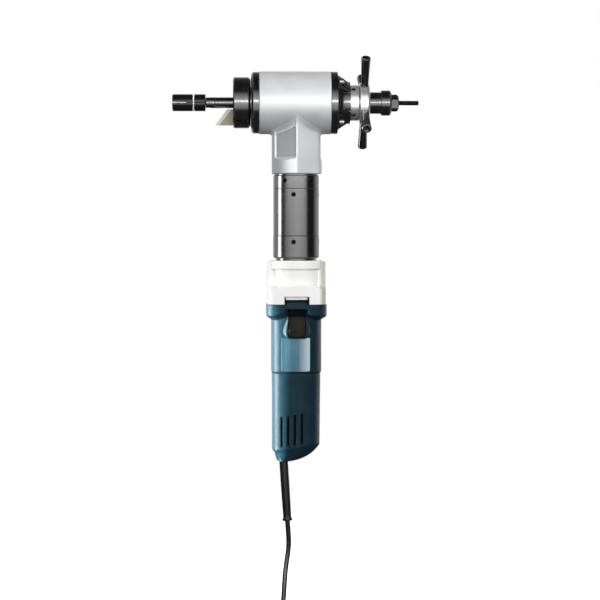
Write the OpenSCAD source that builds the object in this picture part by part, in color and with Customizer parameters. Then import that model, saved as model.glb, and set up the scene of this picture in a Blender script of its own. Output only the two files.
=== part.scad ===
// Pipe beveling machine that an expanding mandrel holds inside the pipe.
// The origin is the middle of the jaws, on the axis of the mandrel.
// The mandrel lies along X with its jaws at -X, the motor hangs down along -Z, and -Y is the front.
// All sizes are in millimetres.

/* [Mandrel] */
// Diameter over the closed jaws
jaw_d = 22; // [20:0.5:25]
// Length of the jaws
jaw_len = 43; // [38:1:50]
// Slit between two neighbouring jaws
jaw_slit = 1.2; // [0.8:0.1:2]
// Length of the wedge that spreads the jaws
wedge_len = 22; // [18:1:26]
// Distance from the axis to a flat of the wedge at its thin end
wedge_thin = 4.2; // [4:0.1:4.6]
// Rise of the wedge for each millimetre of its length
wedge_slope = 0.12; // [0.08:0.01:0.13]
// Diameter of the wire of the garter spring
spring_wire = 1.8; // [1.4:0.1:2.2]
// Diameter of the thin front shaft
shaft_d = 14; // [12:0.5:15]
// Length of the front shaft seen between the jaws and the cutter head
shaft_show = 35.5; // [32:0.5:45]
// Diameter of the thick shaft that carries the guide and the feed thread
guide_d = 28; // [26:0.5:29]
// Diameter of the draw bar
bar_d = 6; // [5:0.5:6.5]
// Length of the draw bar that stands out past its nut
bar_tail = 26; // [20:1:32]
// Diameter of the stop collar at the rear end of the mandrel
stop_d = 32.6; // [31:0.2:40]
// Length of the stop collar
stop_len = 13; // [10:1:18]
// Length of feed thread between the hub and the stop collar
feed_back = 15; // [14.5:0.5:24]
// Width of the draw nut across its flats
nut_af = 19; // [16:0.5:22]
// Length of the draw nut
nut_len = 9.5; // [8:0.5:12]
// Width of the keyway along the guide shaft
key_w = 5; // [4:0.5:6]
// Depth of the keyway along the guide shaft
key_depth = 3; // [2:0.5:4]

/* [Cutter head] */
// Diameter of the cutter head
cutter_d = 66; // [60:1:76]
// Length of the cutter head
cutter_len = 22.5; // [20:0.5:28]
// Gap between the turning cutter head and the front ring
cutter_gap = 1; // [0.6:0.1:2]
// Angle of the cutting edge of the bevel tool
tool_angle = 37.5; // [30:0.5:45]
// Thickness of the bevel tool
tool_thick = 8; // [6:0.5:10]
// Distance from the axis to the outer side of the bevel tool
tool_outer = 29.5; // [27:0.5:30]
// Distance from the axis to the inner side of the bevel tool
tool_inner = 8.6; // [8.2:0.2:12]
// Length of the bevel tool that stands out of the cutter head
tool_out = 23.8; // [18:0.2:25]
// Diameter of the screws that clamp the bevel tool
tool_screw_d = 6; // [4:0.5:6]

/* [Head housing] */
// Wall of the cast housing outside the spindle bearings
housing_wall = 6.5; // [6:0.25:9]
// Length of the housing in front of the motor axis
housing_front = 48; // [46:0.5:56]
// Length of the housing behind the motor axis
housing_rear = 44.5; // [43:0.5:52]
// Distance from the spindle axis to the foot of the stem
stem_len = 92; // [84:1:110]
// Diameter of the stem across its corners
stem_d = 67; // [64:0.5:72]
// Width of the stem between the flats at its two sides
stem_w = 63; // [60:0.5:66]
// Depth of the slanting flats cut into the stem
flat_deep = 4.5; // [3:0.1:6]
// Height of the ledge under the flats on the cutter side
ledge_h = 20.5; // [16:0.5:26]
// Length of the front ring
ring_len = 10; // [8:0.5:14]

/* [Spindle] */
// Outside diameter of the spindle at its bearings
spindle_d = 40; // [38:0.5:40]
// Outside diameter of the spindle bearings
bearing_od = 68; // [66:0.5:70]
// Width of a spindle bearing
bearing_w = 15; // [12:0.5:15]
// Module of the bevel gears
bevel_mod = 1.5; // [1.4:0.05:1.5]
// Width of the teeth of the bevel gears along the cone
bevel_face = 9; // [7:0.5:9]

/* [Rear cover and feed] */
// Length of the rim of the rear cover
cover_rim = 9; // [7:0.5:12]
// Length of the cone of the rear cover
cover_cone = 16; // [14:0.5:20]
// Diameter of the thin end of the cone
cover_end_d = 55; // [50:0.5:60]
// Diameter of the retaining collar
collar_d = 46; // [45:0.5:52]
// Length of the retaining collar
collar_len = 11.5; // [11:0.5:15]
// Diameter of the spanner holes in the retaining collar
spanner_d = 5.4; // [4:0.2:6]
// Diameter of the feed hub
hub_d = 52; // [50:1:64]
// Length of the feed hub
hub_len = 13.5; // [13:0.5:20]
// Gap between the retaining collar and the feed hub
hub_gap = 0.5; // [0.3:0.1:1.5]
// Rounding of the rear edge of the feed hub
hub_round = 4; // [2:0.5:8]
// Diameter of the feed nut inside the hub
feed_nut_d = 35; // [34.5:0.5:36]
// Distance from the axis to the end of a spoke
spoke_reach = 66.5; // [60:0.5:90]
// Diameter of a spoke where it leaves the hub
spoke_root_d = 9; // [8:0.5:10]
// Diameter of a spoke at its end
spoke_end_d = 12.4; // [11:0.2:14]

/* [Gearbox] */
// Diameter of the barrel with the ring gear
barrel_d = 59.2; // [58:0.2:66]
// Length of the barrel
barrel_len = 61; // [59:0.5:70]
// Length of the coupling flange above the barrel
flange_len = 17.3; // [16:0.1:24]
// Height of the waist between the stem and the coupling flange
waist_h = 1.6; // [1:0.1:3]
// Diameter of the input flange below the barrel
input_d = 59.8; // [58:0.2:66]
// Length of the input flange
input_len = 29; // [27:0.5:36]
// Wall of the barrel outside the spigots and the roots of the ring gear
barrel_wall = 4.45; // [4:0.05:6]
// Diameter of the radial screws
screw_d = 6; // [4:0.5:7]

/* [Gear case] */
// Diameter of the round upper band of the gear case
case_band_d = 71; // [68:0.5:74]
// Height of the upper band
case_band_h = 11.5; // [10:0.5:14]
// Diameter of the waist of the gear case
case_waist_d = 63; // [60:0.5:66]
// Height of the waist
case_waist_h = 21; // [18:0.5:26]
// Height of the square foot of the gear case
case_foot_h = 23.5; // [22:0.5:30]
// Side of the square foot
case_side = 75; // [73:0.5:78]
// Waist between the input flange and the gear case
case_neck_h = 3; // [2:0.5:5]

/* [Motor] */
// Side of the square collar of the motor housing
motor_collar = 78; // [76:0.5:84]
// Height of the collar
motor_collar_h = 15; // [12:0.5:18]
// Side of the body of the motor housing
motor_side = 65; // [64:0.5:70]
// Length of the motor housing
motor_len = 88.5; // [88:0.5:100]
// Side of the rear housing
rear_side = 63; // [62:0.5:68]
// Length of the rear housing on its low side
rear_len = 115; // [104:0.5:124]
// Wall of the motor and rear housings
shell_wall = 2.4; // [2:0.1:3]
// Diameter of the rotor
rotor_d = 36; // [32:0.5:38]
// Air gap between the rotor and the stator
air_gap = 0.5; // [0.4:0.1:0.8]
// Diameter of the rotor shaft
rotor_shaft_d = 8; // [7:0.5:9]
// Width of the switch slider
switch_w = 21; // [16:0.5:23]
// Height of the switch slider
switch_h = 26; // [22:0.5:28]
// Width of a vent slot
vent_w = 2.8; // [2:0.1:4]

/* [Cord] */
// Diameter of the cord
cord_d = 6.5; // [6:0.1:7]
// Diameter of the cable boot where it leaves the housing
boot_d = 11.4; // [10.5:0.2:13]
// Length of the cable boot outside the housing
boot_len = 80; // [70:1:90]

/* [Hidden] */
$fn = 72;

// Clearances: a running fit, a seat that is pressed or screwed, and open space round a moving piece
run_fit = 0.06;
seat_fit = 0.04;
open_fit = 0.4;
// Thin edge break on turned pieces
edge = 1;

// Places along X, from the jaws to the end of the draw bar
x_jaw0 = -jaw_len / 2;
x_jaw1 = jaw_len / 2;
x_cutter = x_jaw1 + shaft_show;
x_cutter1 = x_cutter + cutter_len;
x_ring = x_cutter1 + cutter_gap;
x_house0 = x_ring + ring_len;
head_x = x_house0 + housing_front;
x_house1 = head_x + housing_rear;
x_cone = x_house1 + cover_rim;
x_cover1 = x_cone + cover_cone;
x_collar1 = x_cover1 + collar_len;
x_hub0 = x_collar1 + hub_gap;
x_hub1 = x_hub0 + hub_len;
x_stop0 = x_hub1 + feed_back;
x_stop1 = x_stop0 + stop_len;
x_nut0 = x_stop1 + 0.3;
x_nut1 = x_nut0 + nut_len;
x_bar1 = x_nut1 + bar_tail;

// Diameters of the head: the front ring and the rear cover stand a little inside the cast housing
housing_d = bearing_od + 2 * housing_wall;
ring_d = housing_d - 1.4;
cover_d = housing_d - 0.4;

// Travel of the feed toward the pipe and away from it, and of the draw bar
feed_in = 22;
feed_out = 14;
draw_travel = 10;

// Mandrel pieces
wedge_thick = wedge_thin + wedge_slope * wedge_len;
wedge_round = wedge_thick + 2.2;
bar_bore = bar_d + 2 * open_fit;
x_guide0 = x_cutter1 + feed_out + 3;
stop_bore = guide_d - 4;

// Spindle group
spindle_bore = guide_d + 2 * open_fit;
cutter_lip = 9;
cutter_bore = shaft_d + 2 * open_fit;
x_bear0 = x_house0 + 2;
x_bear1 = x_house1 - 5.5 - bearing_w;
cavity_d = bearing_od + 3;

// Bevel gears: both pitch cones have their point where the two axes cross
pinion_teeth = 16;
wheel_teeth = 40;
pinion_r = bevel_mod * pinion_teeth / 2;
wheel_r = bevel_mod * wheel_teeth / 2;
pinion_cone = atan(pinion_r / wheel_r);
wheel_cone = 90 - pinion_cone;
cone_dist = sqrt(pinion_r * pinion_r + wheel_r * wheel_r);
bevel_small = (cone_dist - bevel_face) / cone_dist;
bevel_add = 0.9;
bevel_ded = 1.15;
bevel_press = 20;
bevel_play = 0.3;
pinion_back = wheel_r + bevel_ded * bevel_mod * sin(pinion_cone);
wheel_back = pinion_r + bevel_ded * bevel_mod * sin(wheel_cone);
spindle_mid_d = 2 * (bevel_small * wheel_r - bevel_mod - open_fit) < spindle_d
    ? 2 * (bevel_small * wheel_r - bevel_mod - open_fit) : spindle_d - 1;

// Places along Z, from the stem to the end of the rear housing
z_stem = -stem_len;
z_flange = z_stem - waist_h;
z_barrel = z_flange - flange_len;
z_input = z_barrel - barrel_len;
z_input1 = z_input - input_len;
z_case = z_input1 - case_neck_h;
z_waist = z_case - case_band_h;
z_foot = z_waist - case_waist_h;
z_motor = z_foot - case_foot_h;
z_rear = z_motor - motor_len;
z_end = z_rear - rear_len;

// Planet gears: two equal stages in one ring gear
sun_teeth = 12;
planet_teeth = 18;
ring_teeth = 48;
gear_press = 25;
gear_add = 0.8;
gear_ded = 1.05;
gear_play = 0.24;
root_gap = 0.1;
spigot_r = barrel_d / 2 - barrel_wall;
gear_mod = (spigot_r - root_gap) / (ring_teeth / 2 + gear_ded);
planet_at = gear_mod * (sun_teeth + planet_teeth) / 2;
pin_d = 6;
spigot_len = 14;
carrier_h = 5;
// Room above and below the stages, between the two stages, and between a carrier and its planets
stage_top = 2;
stage_room = 1.6;
planet_room = 0.6;
stage_end = 8.2;
planet_w = (barrel_len - spigot_len - stage_top - stage_room - stage_end) / 2 - carrier_h - planet_room;
z_stage2 = z_barrel - spigot_len - stage_top;
z_planet2 = z_stage2 - carrier_h - planet_room;
z_stage1 = z_planet2 - planet_w - stage_room;
z_planet1 = z_stage1 - carrier_h - planet_room;
z_sun_end = z_planet1 - planet_w - 1;

// Pinion shaft and its bearings
pinion_shaft_d = 15;
small_od = 35;
small_w = 11;
z_pin_bear0 = -pinion_back - 10;
z_pin_bear1 = z_barrel + 3;

// Motor
case_r = case_side / 2;
fan_drop = 5;
z_fan = z_motor - fan_drop;
fan_h = 9;
stack_drop = 48;
z_stack = z_motor - stack_drop;
stack_h = 33;
coil_h = 3;
coil_step = 3;
stator_od = motor_side - 2 * shell_wall - open_fit;
stator_id = rotor_d + 2 * air_gap;
com_drop = 11;
z_com = z_stack - stack_h - com_drop;
com_h = 13;
com_d = 22;
motor_bear_od = 22;
motor_bear_w = 7;
bear_drop = 7;
z_bear_rear = z_com - com_h - bear_drop;
sleeve_d = 50;
sleeve_wall = 3;
front_y = -motor_side / 2;
switch_drop = 16;
z_switch = z_motor - switch_drop;

// Cord: the boot leans a little, as it hangs in the photograph
boot_tilt = 3.65;
boot_seat = 18;
boot_flange = 2.5;
boot_x = head_x - 16.4;
boot_end = [boot_x + boot_len * sin(boot_tilt), 0, z_end - boot_len * cos(boot_tilt)];
hang = 256;
floor_z = z_end - hang;
// Route of the free stretch from the boot down to the coil, measured from the end of the boot
lead_route = [
    [0, 0, 0], [1, 0, -14], [1.6, 0, -27], [0.8, -0.8, -40], [-1.4, -4, -54], [-3.2, -8.7, -68],
    [-4.4, -14, -81.4], [-5.4, -19.9, -94.6], [-6.8, -26.1, -107.5], [-9, -32.6, -120.5],
    [-12.4, -39.1, -132.8], [-17.4, -45.5, -144.4], [-24.6, -51.4, -154.8], [-34, -56.1, -162.6],
    [-46, -59.6, -168.2], [-59, -61.5, -171.6]
];

// Coil of the spare cord: turns in four layers that wind in and out
coil_layers = 4;
coil_turns = 3;
coil_pitch = cord_d + 0.55;
coil_inner = 28.5;
coil_outer = coil_inner + coil_turns * coil_pitch;
coil_rings = 24;
// Gap where two stretches of the modelled cord meet
cord_joint = 0.02;
lay_z = floor_z + cord_d / 2;
lead_end = [boot_end[0] - 72, -62, lay_z];
coil_at = [lead_end[0] - cord_d, lead_end[1] + coil_outer, 0];

// Plain helpers for turned pieces and pieces set round an axis
module turned_x(x0, profile) {
    translate([x0, 0, 0]) rotate([0, 90, 0]) rotate_extrude() polygon(profile);
}

module rod_x(x0, x1, d) {
    translate([x0, 0, 0]) rotate([0, 90, 0]) cylinder(d = d, h = x1 - x0);
}

module rod_z(z0, z1, d) {
    translate([head_x, 0, z1]) cylinder(d = d, h = z0 - z1);
}

module tube_z(z0, z1, d, bore) {
    translate([head_x, 0, z1]) difference() {
        cylinder(d = d, h = z0 - z1);
        translate([0, 0, -1]) cylinder(d = bore, h = z0 - z1 + 2);
    }
}

// Cylinder with a broken edge at either end
module soft_rod(d, h, c0, c1) {
    rotate_extrude() polygon([[0, 0], [d / 2 - c0, 0], [d / 2, c0], [d / 2, h - c1], [d / 2 - c1, h], [0, h]]);
}

// Corner points of a square with round corners
function corner_arc(at, r, a0, n) = [for (i = [0 : n]) let (a = a0 + 90 * i / n) at + r * [cos(a), sin(a)]];
function round_square(side, r, n) = let (c = side / 2 - r) concat(
    corner_arc([c, c], r, 0, n), corner_arc([-c, c], r, 90, n),
    corner_arc([-c, -c], r, 180, n), corner_arc([c, -c], r, 270, n));

function round_box(w, h, r, n) = let (c = w / 2 - r, d = h / 2 - r) concat(
    corner_arc([c, d], r, 0, n), corner_arc([-c, d], r, 90, n),
    corner_arc([-c, -d], r, 180, n), corner_arc([c, -d], r, 270, n));

module slab(side, r, z0, z1) {
    translate([head_x, 0, z1]) linear_extrude(z0 - z1) polygon(round_square(side, r, 10));
}

// Ball bearing that stands on z = 0
module ball_bearing(bore, od, w, balls) {
    wall = (od - bore) * 0.13;
    ball = (od - bore) / 2 - 2 * wall - 0.2;
    difference() {
        cylinder(d = od, h = w);
        translate([0, 0, -1]) cylinder(d = od - 2 * wall, h = w + 2);
    }
    difference() {
        cylinder(d = bore + 2 * wall, h = w);
        translate([0, 0, -1]) cylinder(d = bore, h = w + 2);
    }
    for (i = [0 : balls - 1])
        rotate([0, 0, 360 * i / balls]) translate([(od + bore) / 4, 0, w / 2]) sphere(d = ball);
}

// Involute teeth: the flank of a tooth is drawn from its root to its tip
function involute(a) = tan(a) * 180 / PI - a;
function tooth_half(teeth, mod, play) = 90 / teeth - play / (mod * teeth) * 180 / PI;
function flank(r, base, half, press) = half + involute(press) - (r > base ? involute(acos(base / r)) : 0);

function gear_points(teeth, mod, press, add, ded, play, steps) =
    let (pitch = mod * teeth / 2, base = pitch * cos(press), half = tooth_half(teeth, mod, play))
    let (root = pitch - ded * mod, depth = (add + ded) * mod)
    [for (i = [0 : teeth - 1]) for (side = [-1, 1]) for (j = [0 : steps])
        let (r = root + depth * (side < 0 ? j : steps - j) / steps)
        let (a = 360 * i / teeth + side * flank(r, base, half, press))
        [r * cos(a), r * sin(a)]];

// Straight bevel gear with its cone point at the origin; its teeth shrink from the back cone to the point
function bevel_ring(teeth, cone, steps, size) =
    let (pitch = bevel_mod * teeth / 2, wide = pitch / cos(cone), turns = teeth / cos(cone))
    let (base = wide * cos(bevel_press), half = tooth_half(turns, bevel_mod, bevel_play))
    let (root = wide - bevel_ded * bevel_mod, depth = (bevel_add + bevel_ded) * bevel_mod)
    let (top = pitch / tan(cone) + pitch * tan(cone))
    [for (i = [0 : teeth - 1]) for (side = [-1, 1]) for (j = [0 : steps])
        let (p = root + depth * (side < 0 ? j : steps - j) / steps)
        let (a = 360 * i / teeth + side * flank(p, base, half, bevel_press) / cos(cone))
        size * [p * cos(cone) * cos(a), p * cos(cone) * sin(a), top - p * sin(cone)]];

module bevel_body(teeth, cone, back) {
    steps = 3;
    count = teeth * 2 * (steps + 1);
    big = bevel_ring(teeth, cone, steps, 1);
    small = bevel_ring(teeth, cone, steps, bevel_small);
    polyhedron(
        points = concat(big, small, [[0, 0, back], [0, 0, back * bevel_small]]),
        faces = concat(
            [for (i = [0 : count - 1]) [i, (i + 1) % count, count + i]],
            [for (i = [0 : count - 1]) [count + i, (i + 1) % count, count + (i + 1) % count]],
            [for (i = [0 : count - 1]) [(i + 1) % count, i, 2 * count]],
            [for (i = [0 : count - 1]) [count + i, count + (i + 1) % count, 2 * count + 1]]));
}

// Tube swept along a list of points
function unit(v) = v / norm(v);
function tube_ring(path, i, r, sides, up) =
    let (last = len(path) - 1, t = unit(path[min(i + 1, last)] - path[max(i - 1, 0)]))
    let (a = unit(cross(up, t)), b = cross(t, a))
    [for (k = [0 : sides - 1]) let (w = 360 * (k + 0.5) / sides) path[i] + r * (cos(w) * a + sin(w) * b)];

module tube(path, d, sides, up) {
    rings = len(path);
    points = [for (i = [0 : rings - 1]) each tube_ring(path, i, d / 2, sides, up)];
    polyhedron(
        points = points,
        faces = concat(
            [[for (k = [0 : sides - 1]) k]],
            [for (i = [0 : rings - 2]) for (k = [0 : sides - 1]) let (n = (k + 1) % sides)
                [i * sides + k, (i + 1) * sides + k, i * sides + n]],
            [for (i = [0 : rings - 2]) for (k = [0 : sides - 1]) let (n = (k + 1) % sides)
                [i * sides + n, (i + 1) * sides + k, (i + 1) * sides + n]],
            [[for (k = [0 : sides - 1]) (rings - 1) * sides + sides - 1 - k]]));
}

// Mandrel, held in the pipe
module mandrel_shaft() color("dimgray") difference() {
    union() {
        translate([x_jaw1 + 0.3, 0, 0]) rotate([0, 90, 0]) intersection() {
            soft_rod(shaft_d + 1.6, 12, 0.6, 0.8);
            translate([-(shaft_d - 1) / 2, -shaft_d, 0]) cube([shaft_d - 1, 2 * shaft_d, 12]);
        }
        rod_x(x_jaw1 + 6, x_guide0 + 1, shaft_d);
        turned_x(x_guide0, [[0, 0], [guide_d / 2 - 2, 0], [guide_d / 2, 2], [guide_d / 2, x_stop0 - x_guide0],
            [0, x_stop0 - x_guide0]]);
        rod_x(x_stop0 - 1, x_stop1, stop_bore - 2 * seat_fit);
    }
    rod_x(x_jaw1, x_stop1 + 1, bar_bore);
    translate([head_x + 10, guide_d / 2 - key_depth, -key_w / 2])
        cube([x_stop0 - 5 - head_x - 10, guide_d, key_w]);
}

module stop_collar() color("dimgray") difference() {
    translate([x_stop0, 0, 0]) rotate([0, 90, 0]) soft_rod(stop_d, stop_len, edge / 2, 2);
    rod_x(x_stop0 - 1, x_stop1 + 1, stop_bore);
    translate([x_stop0 + stop_len / 2, 0, 0]) rotate([-90, 0, 0]) cylinder(d = 4, h = stop_d);
}

module draw_bar() color("dimgray") {
    difference() {
        translate([x_jaw0, 0, 0]) rotate([0, 90, 0]) soft_rod(bar_d, x_bar1 - x_jaw0, 0.3, 0.8);
        translate([x_bar1 - bar_tail + 2, 0, 0]) for (i = [0 : 6])
            translate([i * 3.2, 0, 0]) rotate([0, 90, 0]) difference() {
                cylinder(d = bar_d + 1, h = 1);
                translate([0, 0, -1]) cylinder(d = bar_d - 0.8, h = 3);
            }
    }
}

// The wedge has three flats that face the jaws; its corners are turned off round
module wedge_shape(extra, from, to) {
    thin = wedge_thin + extra + wedge_slope * (wedge_len - to);
    thick = wedge_thin + extra + wedge_slope * (wedge_len - from);
    translate([x_jaw0 + from, 0, 0]) rotate([0, 90, 0])
        rotate([0, 0, 30]) cylinder(r1 = 2 * thick, r2 = 2 * thin, h = to - from, $fn = 3);
}

module expander_wedge() color("dimgray") difference() {
    intersection() {
        wedge_shape(0, 0, wedge_len);
        rod_x(x_jaw0 - 1, x_jaw0 + wedge_len + 1, 2 * wedge_round);
    }
    rod_x(x_jaw0 - 2, x_jaw0 + wedge_len + 2, bar_d + 2 * seat_fit);
}

module draw_nut() color("dimgray") difference() {
    translate([x_nut0, 0, 0]) rotate([0, 90, 0]) rotate([0, 0, 10]) intersection() {
        cylinder(d = nut_af / cos(30), h = nut_len, $fn = 6);
        soft_rod(nut_af / cos(30) + 0.2, nut_len, edge, 2.4);
    }
    rod_x(x_nut0 - 1, x_nut1 + 1, bar_d + 2 * run_fit);
}

// Jaw that slides straight out from the axis, with a slanting seat for the wedge and a groove for the spring
x_groove = x_jaw0 + jaw_len * 0.64;
groove_r = jaw_d / 2 - spring_wire - 0.5;

module jaw(turn) {
    color([0.2, 0.2, 0.2]) rotate([turn, 0, 0]) difference() {
        translate([x_jaw0, 0, 0]) rotate([0, 90, 0]) soft_rod(jaw_d, jaw_len, 1.2, 0.8);
        rod_x(x_jaw0 - 1, x_jaw1 + 1, bar_bore + 0.2);
        rotate([60, 0, 0]) wedge_shape(0.15, -1, wedge_len + draw_travel);
        rotate([60, 0, 0]) translate([x_jaw0 - 1, -2 * jaw_d, jaw_slit / 2 - 2 * jaw_d])
            cube([jaw_len + 2, 4 * jaw_d, 2 * jaw_d]);
        rotate([-60, 0, 0]) translate([x_jaw0 - 1, -2 * jaw_d, -jaw_slit / 2])
            cube([jaw_len + 2, 4 * jaw_d, 2 * jaw_d]);
        turned_x(x_groove, [[groove_r, -spring_wire / 2 - 0.3], [jaw_d, -spring_wire / 2 - 0.3],
            [jaw_d, spring_wire / 2 + 0.3], [groove_r, spring_wire / 2 + 0.3]]);
    }
}

module jaw_1() jaw(60);
module jaw_2() jaw(180);
module jaw_3() jaw(300);

module jaw_spring() color("silver") translate([x_groove, 0, 0]) rotate([0, 90, 0])
    rotate_extrude() translate([groove_r + spring_wire / 2 + 0.1, 0]) circle(d = spring_wire, $fn = 24);

// Cutter head with one tool, turning with the hollow spindle
module tool_block(grow) {
    translate([x_cutter - tool_out - 2, -tool_thick / 2 - grow, -tool_outer - grow])
        cube([tool_out + 2 + cutter_lip, tool_thick + 2 * grow, tool_outer - tool_inner + 2 * grow]);
}

tool_screw_x = [x_cutter + cutter_len * 0.36, x_cutter + cutter_len * 0.73];
tool_screw_z = -tool_outer + 3.6;

module cutter_head() color("dimgray") difference() {
    translate([x_cutter, 0, 0]) rotate([0, 90, 0]) soft_rod(cutter_d, cutter_len, 1.5, 3);
    rod_x(x_cutter - 1, x_cutter1 + 1, cutter_bore);
    rod_x(x_cutter + cutter_lip, x_cutter1 + 1, spindle_d + 2 * seat_fit);
    tool_block(seat_fit);
    translate([x_cutter - 1, -tool_thick / 2 - seat_fit, -tool_inner - 1])
        cube([cutter_lip + 1, tool_thick + 2 * seat_fit, tool_inner]);
    translate([tool_screw_x[0], 0, tool_screw_z]) rotate([90, 0, 0])
        cylinder(d = tool_screw_d + 2 * seat_fit, h = cutter_d);
    translate([tool_screw_x[1], 0, tool_screw_z]) rotate([90, 0, 0]) translate([0, 0, tool_thick / 2 + 4])
        cylinder(d = tool_screw_d + 2 * seat_fit, h = cutter_d);
}

module bevel_tool() color("wheat") difference() {
    tool_block(0);
    translate([x_cutter - tool_out, 0, -tool_outer]) rotate([0, tool_angle, 0])
        translate([-60, -20, -10]) cube([60, 40, 80]);
    translate([x_cutter - tool_out, -tool_thick / 2 + 1.8, -tool_outer]) rotate([0, tool_angle, 0])
        rotate([0, 0, -22]) translate([-20, -20, -10]) cube([60, 20, 80]);
    translate([x_cutter - tool_out - 3, -tool_thick / 2, -tool_outer]) rotate([9, 0, 0])
        translate([0, 0, -20]) cube([tool_out + 2.8, 3 * tool_thick, 20]);
}

module tool_screw(x, from) {
    depth = sqrt(cutter_d * cutter_d / 4 - tool_screw_z * tool_screw_z);
    translate([x, -from, tool_screw_z]) rotate([90, 0, 0]) difference() {
        cylinder(d = tool_screw_d, h = depth - from - 2);
        translate([0, 0, depth - from - 5]) cylinder(d = tool_screw_d * 0.57, h = 4, $fn = 6);
    }
}

module tool_screws() color("dimgray") {
    tool_screw(tool_screw_x[0], tool_thick / 2 + seat_fit);
    tool_screw(tool_screw_x[1], tool_thick / 2 + 4 + seat_fit);
}

module spindle() color("lightslategray") difference() {
    union() {
        rod_x(x_cutter + cutter_lip + 0.2, x_bear0 + bearing_w + 1, spindle_d);
        rod_x(x_bear0 + bearing_w, head_x + wheel_back, spindle_mid_d);
        rod_x(head_x + wheel_back - 1, x_bear1 + bearing_w, spindle_d);
    }
    rod_x(x_cutter, x_house1, spindle_bore);
}

module bevel_gear() color("lightslategray") difference() {
    union() {
        translate([head_x, 0, 0]) rotate([0, 90, 0]) bevel_body(wheel_teeth, wheel_cone, wheel_back);
        rod_x(head_x + wheel_back - 0.1, head_x + wheel_back + 4, 2 * wheel_r - 2);
        rod_x(head_x + wheel_back + 3.9, x_bear1 - 0.2, spindle_d + 8);
    }
    rod_x(head_x, x_bear1 + 1, spindle_d + 2 * seat_fit);
}

// Head housing: the stem has six flats; the two slanting ones on the cutter side hold a panel above a ledge
flat_turn = 60;
stem_flat = stem_d / 2 - flat_deep;
ledge_fall = 12;
panel_deep = 1.4;
panel_rim = 2.4;
panel_w = 2 * (sqrt(stem_d * stem_d / 4 - stem_flat * stem_flat) - panel_rim);

module stem() translate([head_x, 0, 0]) difference() {
    translate([0, 0, z_stem]) cylinder(d = stem_d, h = stem_len);
    for (a = [-flat_turn, flat_turn]) rotate([0, 0, a]) translate([stem_flat, -stem_d, z_stem - 1])
        cube([stem_d, 2 * stem_d, stem_len + 2]);
    for (a = [0, 180]) rotate([0, 0, a]) translate([stem_w / 2, -stem_d, z_stem - 1])
        cube([stem_d, 2 * stem_d, stem_len + 2]);
    for (a = [180 - flat_turn, 180 + flat_turn]) rotate([0, 0, a]) {
        translate([0, stem_d, 0]) rotate([90, 0, 0]) linear_extrude(2 * stem_d)
            polygon([[stem_flat, z_stem + ledge_h], [stem_flat + 20, z_stem + ledge_h - ledge_fall],
                [stem_flat + 20, 1], [stem_flat, 1]]);
        translate([stem_flat - panel_deep, 0, 0]) difference() {
            translate([0, -panel_w / 2, z_stem + ledge_h + 1]) cube([stem_d, panel_w, stem_len]);
            rotate([0, 0, -a]) translate([-stem_d, 0, 0]) rotate([0, 90, 0])
                cylinder(d = housing_d + 7, h = 2 * stem_d);
        }
    }
}

module main_housing() color("silver") difference() {
    union() {
        translate([x_house0, 0, 0]) rotate([0, 90, 0])
            soft_rod(housing_d, housing_front + housing_rear, edge, edge);
        stem();
        rod_z(z_stem + 5, z_flange - flange_len + 4, 2 * spigot_r);
        translate([head_x + 20, 0, z_stem + 10.2]) rotate([0, 90, 0]) soft_rod(20, stem_w / 2 - 18.5, 0, 2.5);
    }
    rod_x(x_house0 - 1, x_bear0 + bearing_w, bearing_od + 2 * seat_fit);
    rod_x(x_bear1, x_house1 + 1, bearing_od + 2 * seat_fit);
    rod_x(x_bear0 + bearing_w - 0.5, x_bear1 + 0.5, cavity_d);
    rod_z(0, z_pin_bear0 - small_w, small_od + 2 * seat_fit);
    rod_z(0, z_barrel - 10, small_od - 6);
    translate([head_x + stem_w / 2 - 6, 0, z_stem + 10.2]) rotate([0, 90, 0]) cylinder(d = 8, h = 20);
    at_cover_screws() translate([x_house1 - 10 - x_pocket, 0, 0]) rotate([0, 90, 0])
        cylinder(d = cover_screw_d + 2 * seat_fit, h = cover_cone);
}

module front_ring() color("dimgray") difference() {
    union() {
        translate([x_ring, 0, 0]) rotate([0, 90, 0]) soft_rod(ring_d, ring_len, 2.4, 0.4);
        rod_x(x_ring - cutter_gap + open_fit, x_ring + 3, cutter_d - 1.2);
        rod_x(x_house0 - 1, x_bear0 - 0.1, bearing_od);
    }
    rod_x(x_ring - 1, x_bear0 + 1, spindle_d + 2 * open_fit);
}

module spindle_bearings() color("lightslategray") for (x = [x_bear0, x_bear1])
    translate([x, 0, 0]) rotate([0, 90, 0]) ball_bearing(spindle_d + 2 * run_fit, bearing_od, bearing_w, 12);

// Rear cover with four pockets for its screws
cover_screw_d = 4;
cover_screw_r = bearing_od / 2 + cover_screw_d / 2 + 0.5;
x_pocket = x_cone + 1.5;

module at_cover_screws() for (a = [45 : 90 : 315])
    rotate([a, 0, 0]) translate([x_pocket, 0, cover_screw_r]) children();

module rear_cover() color("dimgray") difference() {
    union() {
        translate([x_house1, 0, 0]) rotate([0, 90, 0]) soft_rod(cover_d, cover_rim, 0.8, 1.6);
        rod_x(x_bear1 + bearing_w + 0.1, x_house1 + 1, bearing_od);
        turned_x(x_cone - 0.5, [[0, 0], [cover_d / 2 - 1.8, 0], [cover_d / 2 - 1.8, 1.5],
            [cover_end_d / 2, cover_cone + 0.5], [0, cover_cone + 0.5]]);
    }
    rod_x(x_bear1, x_cover1 + 1, guide_d + 7);
    rod_x(x_bear1, x_house1 - 3, spindle_d + 4);
    at_cover_screws() rotate([0, 90, 0]) cylinder(d = 10.4, h = cover_cone);
    at_cover_screws() translate([x_house1 - 10 - x_pocket, 0, 0]) rotate([0, 90, 0])
        cylinder(d = cover_screw_d + 2 * seat_fit, h = 2 * cover_cone);
}

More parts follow.
